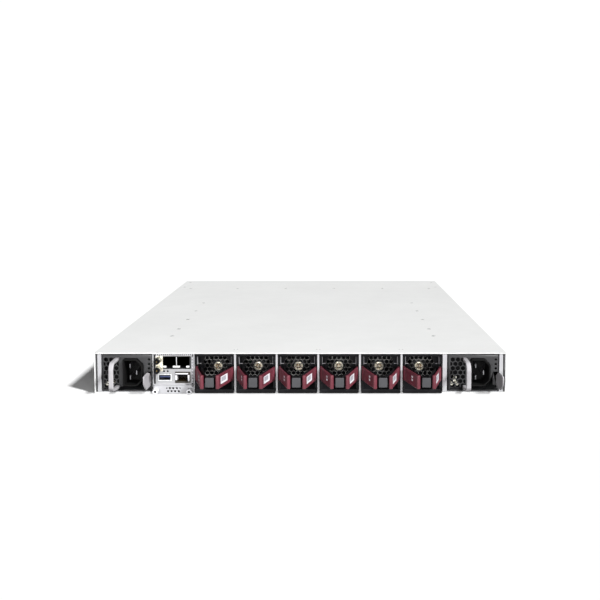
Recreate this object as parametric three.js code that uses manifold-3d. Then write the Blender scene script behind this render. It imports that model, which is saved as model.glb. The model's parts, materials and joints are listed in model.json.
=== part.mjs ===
// Rackmount network switch, one rack unit high: a sheet-metal chassis with pluggable optics on its
// front face (+Y) and, on its rear face (-Y), six pull-out fan modules, two pull-out power supplies
// and a pull-out management module.
//
// Millimetres, +Z up. The origin is the centre of the chassis underside, and +X is to the right for
// somebody who stands behind the chassis and looks along +Y at the fan modules.

import * as THREE from 'three';
import { mergeVertices } from 'three/addons/utils/BufferGeometryUtils.js';
import Module from 'manifold-3d';

const wasm = await Module();
wasm.setup();

// ---------------------------------------------------------------------------------------------
// Driving dimensions
// ---------------------------------------------------------------------------------------------

const WIDTH = 440; // body of a 19 inch rack unit, without ears
const HEIGHT = 43.8; // one rack unit less its stacking clearance
const DEPTH = 560;
const REAR = -DEPTH / 2; // Y of the face with the fan modules
const FRONT = DEPTH / 2; // Y of the face with the optical ports
const SHEET = 1.2; // chassis sheet metal
const GAP = 0.3; // clearance between pieces that rest on each other
const BITE = 0.2; // how far joined lumps of one piece run into each other

// Bays behind the rear face
const COVER_UNDERSIDE = HEIGHT - SHEET;
const HEM = 2.1; // height of the cover's folded front edge
const RAIL_LOW = SHEET + GAP; // underside of the bay frame
const RAIL = 0.6; // thickness of the bay frame's rails
const RAIL_DEPTH = 18;
const BAY_LOW = 2.8; // underside of every pull-out module
const FRAME_HIGH = 42.2;
const MODULE_HIGH = 41.0; // top of the fan modules
const THROUGH = 1; // how far a cutting body reaches past the sheet that it cuts
const FRAME_HALF = 216.3; // the bay frame reaches this far to both sides
const FRAME_SHEET = 1.0;
const SIDE_GUIDE = 212.5; // inner face of the guide outside each power supply
const FAN_BAYS_LEFT = -112.9;
const FRAME_POST = { left: 152.0, right: 156.5 }; // wide post between the last fan and the power supply
const MGMT_WALL_X = -157.6; // wall between the left power supply and the management module
const BOSS = { half: 3.6, deep: 7, high: 7.2, bore: 1.7, boreDeep: 6 }; // takes a thumbscrew

// Fan modules
const FAN_COUNT = 6;
const FAN_PITCH = 44.4;
const FAN_FIRST_X = -91.7;
const FAN_HALF = 20.8; // half of a module's width
const FAN_DEPTH = 100;
const FAN_WALL = 1.2;
const DIVIDER = 2.0;
const GRILLE_SET_BACK = 14; // the hexagon grille lies this far behind the face
const GRILLE_SHEET = 1.2;
const HEX_PITCH = 4.8;
const HEX_ACROSS = 4.0; // hole width across its flats
const HEX_TOP_ROW = 35.1;
const HEX_ROWS = 5;
const HEX_REACH = 12.1; // holes stay within this distance of the module's middle
const FAN_AXIS_Z = 21.9;
const FAN_BORE = 18.2; // radius
const FAN_BODY_FROM = 24;
const FAN_BODY_TO = 80;
const ROTOR_RADIUS = 16.8;
const ROTOR_HUB = 8.8;
const ROTOR_BOSS = 5;
const ROTOR_FROM = 29; // front of the boss
const ROTOR_CUP = { from: 32, to: 56 };
const BLADES = 5;
const CHEEK_INNER = 18.2; // thick cheeks stand in front of the grille, this far from the middle
const LIP = { proud: 2.6, low: 0.5, high: 5.6, corner: 0.8 }; // hangs in front of the tray's edge
const SILL_HIGH = 11.5; // the ramp behind the lip climbs to this height at the grille
const MOTOR = { radius: 8.5, from: 58, to: 72, strutFrom: 62, strutTo: 65, strutHalf: 1 };
const FAN_PLUG = { half: 8, from: 94, high: 12 };

// Pinch levers on each fan module
const LEVER_LOW = 14.2;
const LEVER_HIGH = 28.4;
const LEVER_REACH = 36; // how far the tips stand out of the face
const LEVER_TIP_INNER = 6.1;
const LEVER_TIP_WIDTH = 4.0;
const LEVER_ROOT_OUTER = 20.3;
const LEVER_THICK = 2.1; // measured across the module
const LEVER_ROOT = { bend: 0.5, end: 4.4 }; // depths at which the blade turns inwards and ends
const LEVER_BAR = { corner: 0.8, outerLong: 3.5, innerLong: 4.0, bladeStart: 4.6 }; // the tip bar
const LEVER_POCKET_INNER = 17.3;
const LEVER_POCKET_LOW = 13.4;
const LEVER_POCKET_HIGH = 31.2;
const LEVER_POCKET_DEEP = 6;
const GRIP_HALF = 4.6; // grey plate between the tips
const GRIP_LOW = 16.7;
const GRIP_HIGH = 27.4;
const GRIP_SHEET = 1.4;
const YOKE_ARM = { outer: 14.6, inner: 13.4, start: 3.4 }; // the arms spread from start to outer

// Power supplies
const PSU_CENTRES = { left: -185, right: 184.9 };
const PSU_HALF = 27;
const PSU_HIGH = 42.2;
const PSU_DEPTH = 321;
const PSU_SHEET = 1.0;
const PSU_HEX_PITCH = 5.4;
const PSU_HEX_ACROSS = 4.5;
const PSU_HEX_TOP = 36.4;
const PSU_HEX_ROWS = 7;
const PSU_HEX_COLUMNS = [-22.1, -16.7, -11.3]; // odd rows; even rows lie half a pitch to the right
const INLET = { left: -3.5, right: 17.5, low: 8.4, high: 37.7, deep: 24, recess: 18, wall: 1.7 };
const INLET_CHAMFER = 6.4;
const INLET_PROUD = 4;
const PINS = { places: [[2.8, 28.9], [2.8, 16.3]], half: 0.8, halfHigh: 2.4, from: 2.5 };
const EARTH_PIN = { place: [10.6, 22.6], from: -1 }; // longer than the other two
const HANDLE = { x: -9.8, width: 5, thick: 3, low: 6, high: 39, reach: 28, bend: 6, ease: 0.6 };
const PSU_LATCH = { x: 24.9, thick: 1.5, reach: 31.2, inside: 46, low: 11, high: 20 };
const LATCH_TAB = { low: 8.8, high: 26.1, neck: -2, shoulder: [-6, 23.6], from: -15, bevel: 1.5 };
const LATCH_CORNER = [[-31.2, 18], [-27.6, 13.8], [-20.6, 8.8]]; // cut-off lower corner of the tab
const LATCH_FOOT = { long: 6, low: 12, high: 19 };
const PSU_FAN_Z = 24.5;
const PSU_FAN_RADIUS = 15;
const PSU_ROTOR = { hub: 7, from: 296, to: 310, boss: 3, bossFrom: 294 };
const PSU_FAN_WALL = { from: 292, to: 316, room: 0.8 };
const PSU_MOTOR = { radius: 6.5, from: 311, to: 315.5, strutFrom: 312, strutTo: 315 };
const PSU_CABLE_SLOT = { half: 24.5, low: 4.6, high: 8.4 }; // lets the board through the fan wall
const PSU_LATCH_WINDOW = { left: 21.0, right: 25.9, low: 9.4, high: 23.3 };
const PSU_SIDE_VENTS = { x: 23.7, heights: [36.6, 31.6, 27.0, 6.7], across: 2.3 };

// Management module
const MGMT_PLATE = [-154.5, -115.4];
const MGMT_TAB = [-156.2, -114.4];
const MGMT_STEP = 9.2; // underside of the panel; the fastening tab hangs below it
const MGMT_HIGH = 40.9;
const MGMT_DEPTH = 118;
const MGMT_PROUD = 3; // the fastening tab stands this far out
const MGMT_TAB_LOW = 0.4;
const THUMBSCREWS = { left: -153.3, right: -117.4 };
const THUMBSCREW_Z = 3.9;
const JACK_PAIR = { left: -146.6, right: -116.6, low: 26.6, high: 40.0, deep: 20 };
const RJ45 = { left: -133.6, right: -117.3, low: 11.3, high: 23.3, deep: 21 };
const USB = { left: -152.0, right: -137.1, low: 13.4, high: 21.2, deep: 17 };
const JACK_CAVITIES = { lefts: [-145.6, -131.1], width: 12.6, low: 30.2, high: 39.1, deep: 14 };
const JACK_NOTCH = { from: 3.6, to: 9.0, low: 27.5 }; // room for the plug's clip, below the cavity
const RJ45_CAVITY = { x: [-131.4, -119.4], z: [12.3, 19.9] };
const RJ45_NOTCH = { x: [-128.2, -122.6], z: [19.7, 22.4] };
const USB_CAVITY = { x: [-151.0, -138.1], z: [14.5, 20.1], deep: 13 };
const USB_TONGUE = { x: [-150, -139.1], y: [5, 14], z: [17.3, 19.2] };
const COAX_X = -150.1;
const COAX_HEIGHTS = { upper: 37.3, lower: 27.6 };
const COAX = { radius: 2.9, nut: 3.2, nutDeep: 3.2, tail: 2.6, reach: 14.5, inside: 8 };
const SCREW_HEAD = { radius: 3.1, corner: 0.5, long: 6.5, shank: 1.3, shankEnd: 5 };

// Optical ports on the front face
const CAGE_GROUPS = [-122, 0, 122]; // X of the middle of each group
const CAGE_COLUMNS = 4;
const CAGE_PITCH = 20.4;
const CAGE_WALL = 1.6;
const CAGE_LOW = 7.8;
const CAGE_HIGH = 31.4;
const CAGE_DEEP = 51;
const CAGE_BACK = 6; // solid behind the cavities
const CAVITY_HIGH = 9.2;
const CAVITY_ROWS = [9.0, 21.0]; // underside of the lower and the upper row
const VENT_GROUPS = [-190, -61, 61, 190];
const VENT_PITCH = 8.6;
const VENT_ACROSS = 7.2;
const VENT_ROWS = 4;
const VENT_COLUMNS = 4;
const VENT_LOW = 9.4; // height of the lowest row's middle

// ---------------------------------------------------------------------------------------------
// Materials
// ---------------------------------------------------------------------------------------------

const PAINT = { color: 0xe6e7e6, roughness: 0.55, metalness: 0.1 };
const FRAME_STEEL = { color: 0xc9cbcb, roughness: 0.45, metalness: 0.5 };
const FAN_BLACK = { color: 0x121314, roughness: 0.45, metalness: 0.0 };
const LEVER_RED = { color: 0x5e1822, roughness: 0.45, metalness: 0.0 };
const GRIP_GREY = { color: 0x5c5c60, roughness: 0.6, metalness: 0.0 };
const ROTOR_BLACK = { color: 0x1a1a1b, roughness: 0.5, metalness: 0.0 };
const PSU_GREY = { color: 0x3a3a3c, roughness: 0.6, metalness: 0.2 };
const HANDLE_GREY = { color: 0xcdc8cd, roughness: 0.5, metalness: 0.1 };
const INLET_BLACK = { color: 0x18181a, roughness: 0.35, metalness: 0.0 };
const PLATE_STEEL = { color: 0xd4d6d8, roughness: 0.35, metalness: 0.7 };
const PORT_STEEL = { color: 0xb8babd, roughness: 0.3, metalness: 0.9 };
const JACK_BLACK = { color: 0x1c1c20, roughness: 0.4, metalness: 0.0 };
const GOLD = { color: 0xc8a050, roughness: 0.3, metalness: 1.0 };
const SCREW_STEEL = { color: 0xa8aaac, roughness: 0.3, metalness: 0.9 };
const BOARD_GREEN = { color: 0x1d4a33, roughness: 0.5, metalness: 0.0 };
const ALUMINIUM = { color: 0xb4b6b8, roughness: 0.4, metalness: 0.8 };

// ---------------------------------------------------------------------------------------------
// Solids: closed geometries that can be joined and cut
// ---------------------------------------------------------------------------------------------

function solid(geometry) {
  geometry.deleteAttribute('normal');
  geometry.deleteAttribute('uv');
  const merged = mergeVertices(geometry, 1e-4);
  return new wasm.Manifold(new wasm.Mesh({
    numProp: 3,
    vertProperties: new Float32Array(merged.attributes.position.array),
    triVerts: new Uint32Array(merged.index.array),
  }));
}

function toGeometry(body) {
  const mesh = body.getMesh();
  const geometry = new THREE.BufferGeometry();
  geometry.setAttribute('position', new THREE.BufferAttribute(mesh.vertProperties, mesh.numProp));
  geometry.setIndex(new THREE.BufferAttribute(mesh.triVerts, 1));
  geometry.computeVertexNormals();
  return geometry;
}

function join(...bodies) {
  return bodies.reduce((whole, body) => whole.add(body));
}

function cut(body, ...tools) {
  return tools.reduce((rest, tool) => rest.subtract(tool), body);
}

function block(x, y, z) {
  const geometry = new THREE.BoxGeometry(x[1] - x[0], y[1] - y[0], z[1] - z[0]);
  geometry.translate((x[0] + x[1]) / 2, (y[0] + y[1]) / 2, (z[0] + z[1]) / 2);
  return solid(geometry);
}

function outline(points) {
  return new THREE.Shape(points.map(([a, b]) => new THREE.Vector2(a, b)));
}

/** Extrudes an outline of [x, y] points upwards. */
function prismZ(points, low, high) {
  const geometry = new THREE.ExtrudeGeometry(outline(points), { depth: high - low, bevelEnabled: false });
  geometry.translate(0, 0, low);
  return solid(geometry);
}

/** Extrudes an outline of [x, z] points along Y. */
function prismY(points, from, to) {
  const geometry = new THREE.ExtrudeGeometry(outline(points), { depth: to - from, bevelEnabled: false });
  geometry.rotateX(Math.PI / 2);
  geometry.translate(0, to, 0);
  return solid(geometry);
}

/** Extrudes an outline of [y, z] points along X. */
function prismX(points, from, to) {
  const geometry = new THREE.ExtrudeGeometry(outline(points), { depth: to - from, bevelEnabled: false });
  const turned = new THREE.Matrix4().makeBasis(
    new THREE.Vector3(0, 1, 0),
    new THREE.Vector3(0, 0, 1),
    new THREE.Vector3(1, 0, 0),
  );
  geometry.applyMatrix4(turned);
  geometry.translate(from, 0, 0);
  return solid(geometry);
}

/** A cylinder, or with six sides a hexagon prism, whose axis runs along Y through (x, z). */
function roundY(x, z, radius, from, to, sides) {
  const geometry = new THREE.CylinderGeometry(radius, radius, to - from, sides);
  geometry.translate(x, (from + to) / 2, z);
  return solid(geometry);
}

function roundZ(x, y, radius, from, to, sides) {
  const geometry = new THREE.CylinderGeometry(radius, radius, to - from, sides);
  geometry.rotateX(Math.PI / 2);
  geometry.translate(x, y, (from + to) / 2);
  return solid(geometry);
}

/** A solid of revolution about the Y line through (x, z); the profile holds [radius, y] pairs. */
function turnedY(x, z, profile, sides) {
  const points = profile.map(([radius, y]) => new THREE.Vector2(radius, y));
  const geometry = new THREE.LatheGeometry(points, sides);
  geometry.translate(x, 0, z);
  return solid(geometry);
}

/** The range from inner to outer on one side of the middle: side is 1 for +X and -1 for -X. */
function sideRange(side, inner, outer) {
  return side < 0 ? [-outer, -inner] : [inner, outer];
}

/** The room that a window with a left, right, low and high side takes, widened by a margin. */
function windowFor(window, margin, depth) {
  const { left, right, low, high } = window;
  return block([left - margin, right + margin], depth, [low - margin, high + margin]);
}

function hexagons(centres, across, from, to) {
  const radius = across / 2 / Math.cos(Math.PI / 6);
  return join(...centres.map(([x, z]) => roundY(x, z, radius, from, to, 6)));
}

const group = new THREE.Group();

function place(parent, name, body, finish) {
  const mesh = new THREE.Mesh(toGeometry(body), new THREE.MeshStandardMaterial(finish));
  mesh.name = name;
  parent.add(mesh);
}

/** A group whose local Y is measured from the rear face into the chassis. */
function rearModule(x) {
  const module = new THREE.Group();
  module.position.set(x, REAR, 0);
  group.add(module);
  return module;
}

// ---------------------------------------------------------------------------------------------
// Chassis: tray, cover and bay frame
// ---------------------------------------------------------------------------------------------

const STANDOFF_RADIUS = 2.6;
const STANDOFFS = [[-190, 90], [-190, 240], [190, 90], [190, 240], [-120, -120], [120, -120], [0, 30]];
const BOARD_LOW = 5.9;
const BOARD_THICK = 1.6;

function chassisTray() {
  const half = WIDTH / 2;
  const floor = block([-half, half], [REAR, FRONT], [0, SHEET]);
  const wallHigh = COVER_UNDERSIDE - GAP;
  const walls = [-1, 1].map((side) => {
    return block(sideRange(side, half - SHEET, half), [REAR, FRONT], [0, wallHigh]);
  });
  const posts = STANDOFFS.map(([x, y]) => roundZ(x, y, STANDOFF_RADIUS, SHEET - BITE, BOARD_LOW - GAP, 8));
  return join(floor, ...walls, ...posts);
}

function topCover() {
  const half = WIDTH / 2;
  const sheet = block([-half, half], [REAR, FRONT], [COVER_UNDERSIDE, HEIGHT]);
  const hemHeight = [HEIGHT - HEM, COVER_UNDERSIDE + BITE];
  const inner = half - SHEET - GAP;
  const frontHem = block([-inner, inner], [FRONT - SHEET, FRONT], hemHeight);
  return join(sheet, frontHem);
}

function screwBoss(x) {
  return block([x - BOSS.half, x + BOSS.half], [REAR, REAR + BOSS.deep], [RAIL_LOW, BOSS.high]);
}

function screwBore(x, from, to) {
  return roundY(x, THUMBSCREW_Z, BOSS.bore, from, to, 10);
}

function fanX(index) {
  return FAN_FIRST_X + FAN_PITCH * index;
}

function bayFrame() {
  const wallHeight = [RAIL_LOW, FRAME_HIGH];
  const railDepth = [REAR, REAR + RAIL_DEPTH];
  const topRailDepth = [REAR + SHEET + GAP, REAR + RAIL_DEPTH];
  const guideDepth = [REAR, REAR + PSU_DEPTH + 2];
  const parts = [
    block([-FRAME_HALF, FRAME_HALF], railDepth, [RAIL_LOW, RAIL_LOW + RAIL]),
    block([MGMT_WALL_X, FRAME_POST.right], topRailDepth, [FRAME_HIGH - RAIL, FRAME_HIGH]),
  ];
  for (let i = 0; i < FAN_COUNT - 1; i += 1) {
    const x = (fanX(i) + fanX(i + 1)) / 2;
    parts.push(block([x - DIVIDER / 2, x + DIVIDER / 2], [REAR, REAR + FAN_DEPTH], wallHeight));
  }
  parts.push(block([FAN_BAYS_LEFT - FRAME_SHEET, FAN_BAYS_LEFT], [REAR, REAR + MGMT_DEPTH + 4], wallHeight));
  parts.push(block([MGMT_WALL_X, MGMT_WALL_X + FRAME_SHEET], guideDepth, wallHeight));
  parts.push(block([FRAME_POST.left, FRAME_POST.right], railDepth, wallHeight));
  parts.push(block([FRAME_POST.right - SHEET, FRAME_POST.right], guideDepth, wallHeight));
  for (const side of [-1, 1]) {
    parts.push(block(sideRange(side, SIDE_GUIDE, SIDE_GUIDE + FRAME_SHEET), guideDepth, wallHeight));
    parts.push(block(sideRange(side, SIDE_GUIDE, FRAME_HALF), [REAR, REAR + SHEET], wallHeight));
  }
  const screws = Object.values(THUMBSCREWS);
  parts.push(...screws.map(screwBoss));
  const bores = screws.map((x) => screwBore(x, REAR - THROUGH, REAR + BOSS.boreDeep));
  return cut(join(...parts), ...bores);
}

// ---------------------------------------------------------------------------------------------
// Front: port panel and cages
// ---------------------------------------------------------------------------------------------

const CAGE_BLOCK_HALF = (CAGE_COLUMNS * CAGE_PITCH + CAGE_WALL) / 2;

function ventCentres(middle) {
  const centres = [];
  for (let row = 0; row < VENT_ROWS; row += 1) {
    const columns = row % 2 === 0 ? VENT_COLUMNS : VENT_COLUMNS - 1;
    const z = VENT_LOW + row * VENT_PITCH * Math.cos(Math.PI / 6);
    for (let column = 0; column < columns; column += 1) {
      centres.push([middle + (column - (columns - 1) / 2) * VENT_PITCH, z]);
    }
  }
  return centres;
}

function portPanel() {
  const half = WIDTH / 2 - SHEET - GAP;
  const plate = block([-half, half], [FRONT - SHEET, FRONT], [RAIL_LOW, HEIGHT - HEM - GAP]);
  const room = CAGE_BLOCK_HALF + GAP;
  const depth = [FRONT - SHEET - THROUGH, FRONT + THROUGH];
  const windows = CAGE_GROUPS.map((x) => block(
    [x - room, x + room],
    depth,
    [CAGE_LOW - GAP, CAGE_HIGH + GAP],
  ));
  const vents = VENT_GROUPS.map((x) => hexagons(ventCentres(x), VENT_ACROSS, ...depth));
  return cut(plate, ...windows, ...vents);
}

function cageGroup(middle) {
  const cage = block(
    [middle - CAGE_BLOCK_HALF, middle + CAGE_BLOCK_HALF],
    [FRONT - CAGE_DEEP, FRONT],
    [CAGE_LOW, CAGE_HIGH],
  );
  const cavities = [];
  for (let column = 0; column < CAGE_COLUMNS; column += 1) {
    const x = middle + (column - (CAGE_COLUMNS - 1) / 2) * CAGE_PITCH;
    const half = (CAGE_PITCH - CAGE_WALL) / 2;
    for (const low of CAVITY_ROWS) {
      const depth = [FRONT - CAGE_DEEP + CAGE_BACK, FRONT + THROUGH];
      cavities.push(block([x - half, x + half], depth, [low, low + CAVITY_HIGH]));
    }
  }
  return cut(cage, ...cavities);
}

function portCages() {
  const reach = CAGE_GROUPS[CAGE_GROUPS.length - 1];
  const back = FRONT - CAGE_DEEP;
  const tie = block([-reach, reach], [back, back + CAGE_BACK - 1], [CAGE_LOW, CAGE_LOW + 4]);
  return join(tie, ...CAGE_GROUPS.map(cageGroup));
}

// ---------------------------------------------------------------------------------------------
// Electronics inside the chassis
// ---------------------------------------------------------------------------------------------

const MAIN_BOARD = { wide: 208, narrow: 148, rear: -142, shoulder: 64, front: 262 };
const HEAT_SINK = { half: 52, rear: 78, front: 182, base: 6, high: 38, fins: 14, fin: 1.2 };
const LOW_BOARD = { low: 3.0, high: 4.6 }; // the small boards behind the modules
const POWER_BOARD = { half: 208, deep: 16, plugHalf: 18, plugDeep: 12, plugHigh: 16 };
const FAN_BOARD = { x: [-108, 148], deep: 26, plugHalf: 7, plugDeep: 8, plugHigh: 13 };

function mainBoard() {
  const { wide, narrow, rear, shoulder, front } = MAIN_BOARD;
  const rightHalf = [[narrow, rear], [narrow, shoulder], [wide, shoulder], [wide, front]];
  const leftHalf = rightHalf.map(([x, y]) => [-x, y]).reverse();
  return prismZ([...rightHalf, ...leftHalf], BOARD_LOW, BOARD_LOW + BOARD_THICK);
}

function heatSink() {
  const { half, rear, front, base, high, fins, fin } = HEAT_SINK;
  const low = BOARD_LOW + BOARD_THICK + GAP;
  const parts = [block([-half, half], [rear, front], [low, low + base])];
  for (let i = 0; i < fins; i += 1) {
    const x = (half - fin) * ((2 * i) / (fins - 1) - 1);
    parts.push(block([x - fin / 2, x + fin / 2], [rear, front], [low + base - BITE, high]));
  }
  return join(...parts);
}

/** A low board across the chassis whose row of plugs faces the modules. */
function plugBoard(x, rearEdge, board, plugCentres) {
  const plugHeight = [LOW_BOARD.high - BITE, board.plugHigh];
  const plugs = plugCentres.map((middle) => block(
    [middle - board.plugHalf, middle + board.plugHalf],
    [rearEdge, rearEdge + board.plugDeep],
    plugHeight,
  ));
  return join(block(x, [rearEdge, rearEdge + board.deep], [LOW_BOARD.low, LOW_BOARD.high]), ...plugs);
}

function powerBoard() {
  const x = [-POWER_BOARD.half, POWER_BOARD.half];
  return plugBoard(x, REAR + PSU_DEPTH + 3, POWER_BOARD, Object.values(PSU_CENTRES));
}

function fanBoard() {
  const centres = Array.from({ length: FAN_COUNT }, (_, i) => fanX(i));
  return plugBoard(FAN_BOARD.x, REAR + FAN_DEPTH + 2, FAN_BOARD, centres);
}

// ---------------------------------------------------------------------------------------------
// Fan module: housing with grille and stator, grip yoke, two pinch levers, rotor
// ---------------------------------------------------------------------------------------------

function fanGrilleCentres() {
  const centres = [];
  for (let row = 0; row < HEX_ROWS; row += 1) {
    const z = HEX_TOP_ROW - row * HEX_PITCH * Math.cos(Math.PI / 6);
    const shift = row % 2 === 0 ? 0 : HEX_PITCH / 2;
    for (let x = shift - 3 * HEX_PITCH; x <= HEX_REACH; x += HEX_PITCH) {
      if (Math.abs(x) <= HEX_REACH) {
        centres.push([x, z]);
      }
    }
  }
  return centres;
}

/** The rounded lip below the module's mouth and the ramp behind it. */
function fanSill(x) {
  const { proud, low, high, corner } = LIP;
  const lip = prismX([
    [-proud, low],
    [-GAP, low],
    [-GAP, BAY_LOW],
    [GAP, BAY_LOW],
    [GAP, high],
    [corner - proud, high],
    [-proud, high - corner],
  ], -FAN_HALF, FAN_HALF);
  const foot = BAY_LOW + FAN_WALL - BITE;
  const end = GRILLE_SET_BACK + BITE;
  return join(lip, prismX([[0, foot], [0, high - GAP], [end, SILL_HIGH], [end, foot]], ...x));
}

function fanHousing() {
  const inner = FAN_HALF - FAN_WALL;
  const sleeve = cut(
    block([-FAN_HALF, FAN_HALF], [0, FAN_DEPTH], [BAY_LOW, MODULE_HIGH]),
    block([-inner, inner], [-THROUGH, FAN_DEPTH + THROUGH], [BAY_LOW + FAN_WALL, MODULE_HIGH - FAN_WALL]),
  );
  const height = [BAY_LOW + FAN_WALL - BITE, MODULE_HIGH - FAN_WALL + BITE];
  const width = [-inner - BITE, inner + BITE];
  const cheeks = [-1, 1].map((side) => {
    return block(sideRange(side, CHEEK_INNER, inner + BITE), [0, GRILLE_SET_BACK + BITE], height);
  });
  const grilleBack = GRILLE_SET_BACK + GRILLE_SHEET;
  const grille = cut(
    block(width, [GRILLE_SET_BACK, grilleBack], height),
    hexagons(fanGrilleCentres(), HEX_ACROSS, GRILLE_SET_BACK - THROUGH, grilleBack + THROUGH),
  );
  const fanBody = cut(
    block(width, [FAN_BODY_FROM, FAN_BODY_TO], height),
    roundY(0, FAN_AXIS_Z, FAN_BORE, FAN_BODY_FROM - THROUGH, FAN_BODY_TO + THROUGH, 24),
  );
  const motor = roundY(0, FAN_AXIS_Z, MOTOR.radius, MOTOR.from, MOTOR.to, 16);
  const strutDepth = [MOTOR.strutFrom, MOTOR.strutTo];
  const strut = MOTOR.strutHalf;
  const struts = [
    block([-FAN_BORE - THROUGH, FAN_BORE + THROUGH], strutDepth, [FAN_AXIS_Z - strut, FAN_AXIS_Z + strut]),
    block([-strut, strut], strutDepth, height),
  ];
  const plugDepth = [FAN_PLUG.from, FAN_DEPTH];
  const plug = block([-FAN_PLUG.half, FAN_PLUG.half], plugDepth, [height[0], FAN_PLUG.high]);
  const pockets = [-1, 1].map((side) => block(
    sideRange(side, LEVER_POCKET_INNER, FAN_HALF + THROUGH),
    [-THROUGH, LEVER_POCKET_DEEP],
    [LEVER_POCKET_LOW, LEVER_POCKET_HIGH],
  ));
  return cut(join(sleeve, ...cheeks, grille, fanSill(width), fanBody, motor, ...struts, plug), ...pockets);
}

/** The grey plate between the lever tips and the two arms that carry it. */
function fanYoke() {
  const front = -LEVER_REACH;
  const back = front + GRIP_SHEET;
  const armEnd = GRILLE_SET_BACK - GAP;
  const { outer, inner, start } = YOKE_ARM;
  const half = [[GRIP_HALF, front], [GRIP_HALF, back], [start, back], [outer, 0], [outer, armEnd]];
  half.push([inner, armEnd], [inner, GAP], [start - SHEET, back + 1]);
  const mirrored = half.map(([x, y]) => [-x, y]).reverse();
  return prismZ([...half, ...mirrored], GRIP_LOW, GRIP_HIGH);
}

/** side is 1 for the lever at +X and -1 for the one at -X. */
function fanLever(side) {
  const tip = -LEVER_REACH;
  const tipOuter = LEVER_TIP_INNER + LEVER_TIP_WIDTH;
  const rootInner = LEVER_ROOT_OUTER - LEVER_THICK;
  const { bend, end } = LEVER_ROOT;
  const { corner, outerLong, innerLong, bladeStart } = LEVER_BAR;
  const points = [
    [LEVER_ROOT_OUTER, end],
    [LEVER_ROOT_OUTER, bend],
    [tipOuter, tip + outerLong],
    [tipOuter, tip + corner],
    [tipOuter - corner, tip],
    [LEVER_TIP_INNER + corner, tip],
    [LEVER_TIP_INNER, tip + corner],
    [LEVER_TIP_INNER, tip + innerLong],
    [tipOuter - LEVER_THICK, tip + bladeStart],
    [rootInner, bend],
    [rootInner, end],
  ];
  return prismZ(points.map(([x, y]) => [x * side, y]), LEVER_LOW, LEVER_HIGH);
}

const BLADE = { thick: 1.2, lean: 0.6, root: 1, margin: 4 }; // lean in radians; root runs into the hub

function rotorBlade(index, count, hub, radius, from, to) {
  const inner = hub - BLADE.root;
  const geometry = new THREE.BoxGeometry(BLADE.thick, to - from, radius - inner);
  geometry.rotateZ(BLADE.lean);
  geometry.translate(0, (from + to) / 2, (radius + inner) / 2);
  geometry.rotateY((index * 2 * Math.PI) / count);
  return solid(geometry);
}

function rotor(z, hub, radius, from, to, boss, bossFrom) {
  const parts = [roundY(0, 0, hub, from, to, 16)];
  parts.push(roundY(0, 0, boss, bossFrom, from + BITE, 16));
  for (let i = 0; i < BLADES; i += 1) {
    parts.push(rotorBlade(i, BLADES, hub, radius, from + BLADE.margin, to - BLADE.margin));
  }
  return join(...parts).translate([0, 0, z]);
}

function addFanModule(index) {
  const module = rearModule(fanX(index));
  const name = `fan_${index + 1}`;
  place(module, `${name}_housing`, fanHousing(), FAN_BLACK);
  place(module, `${name}_yoke`, fanYoke(), GRIP_GREY);
  place(module, `${name}_lever_left`, fanLever(-1), LEVER_RED);
  place(module, `${name}_lever_right`, fanLever(1), LEVER_RED);
  const { from, to } = ROTOR_CUP;
  const turning = rotor(FAN_AXIS_Z, ROTOR_HUB, ROTOR_RADIUS, from, to, ROTOR_BOSS, ROTOR_FROM);
  place(module, `${name}_rotor`, turning, ROTOR_BLACK);
}

// ---------------------------------------------------------------------------------------------
// Power supply: case, board, mains inlet, strap handle, release latch, rotor
// ---------------------------------------------------------------------------------------------

function psuGrilleCentres() {
  const centres = [];
  for (let row = 0; row < PSU_HEX_ROWS; row += 1) {
    const z = PSU_HEX_TOP - row * PSU_HEX_PITCH * Math.cos(Math.PI / 6);
    const shift = row % 2 === 0 ? 0 : PSU_HEX_PITCH / 2;
    const columns = row % 2 === 0 ? PSU_HEX_COLUMNS : PSU_HEX_COLUMNS.slice(0, 2);
    columns.forEach((x) => centres.push([x + shift, z]));
  }
  return centres;
}

function psuCase() {
  const face = [-THROUGH, SHEET + THROUGH];
  const shell = cut(
    block([-PSU_HALF, PSU_HALF], [0, PSU_DEPTH], [BAY_LOW, PSU_HIGH]),
    block(
      [PSU_SHEET - PSU_HALF, PSU_HALF - PSU_SHEET],
      [SHEET, PSU_DEPTH + THROUGH],
      [BAY_LOW + PSU_SHEET, PSU_HIGH - PSU_SHEET],
    ),
  );
  const { from, to, room } = PSU_FAN_WALL;
  const fanWall = cut(
    block([BITE - PSU_HALF, PSU_HALF - BITE], [from, to], [BAY_LOW + BITE, PSU_HIGH - BITE]),
    roundY(0, PSU_FAN_Z, PSU_FAN_RADIUS + room, from - THROUGH, to + THROUGH, 24),
    block(
      [-PSU_CABLE_SLOT.half, PSU_CABLE_SLOT.half],
      [from - THROUGH, to + THROUGH],
      [PSU_CABLE_SLOT.low, PSU_CABLE_SLOT.high],
    ),
  );
  const motor = roundY(0, PSU_FAN_Z, PSU_MOTOR.radius, PSU_MOTOR.from, PSU_MOTOR.to, 12);
  const strutReach = PSU_FAN_RADIUS + room + THROUGH;
  const strut = block(
    [-strutReach, strutReach],
    [PSU_MOTOR.strutFrom, PSU_MOTOR.strutTo],
    [PSU_FAN_Z - MOTOR.strutHalf, PSU_FAN_Z + MOTOR.strutHalf],
  );
  const latchWindow = PSU_LATCH_WINDOW;
  const { x, heights, across } = PSU_SIDE_VENTS;
  return cut(
    join(shell, fanWall, motor, strut),
    windowFor(INLET, GAP, face),
    windowFor(latchWindow, 0, face),
    hexagons(heights.map((z) => [x, z]), across, ...face),
    hexagons(psuGrilleCentres(), PSU_HEX_ACROSS, ...face),
  );
}

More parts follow.
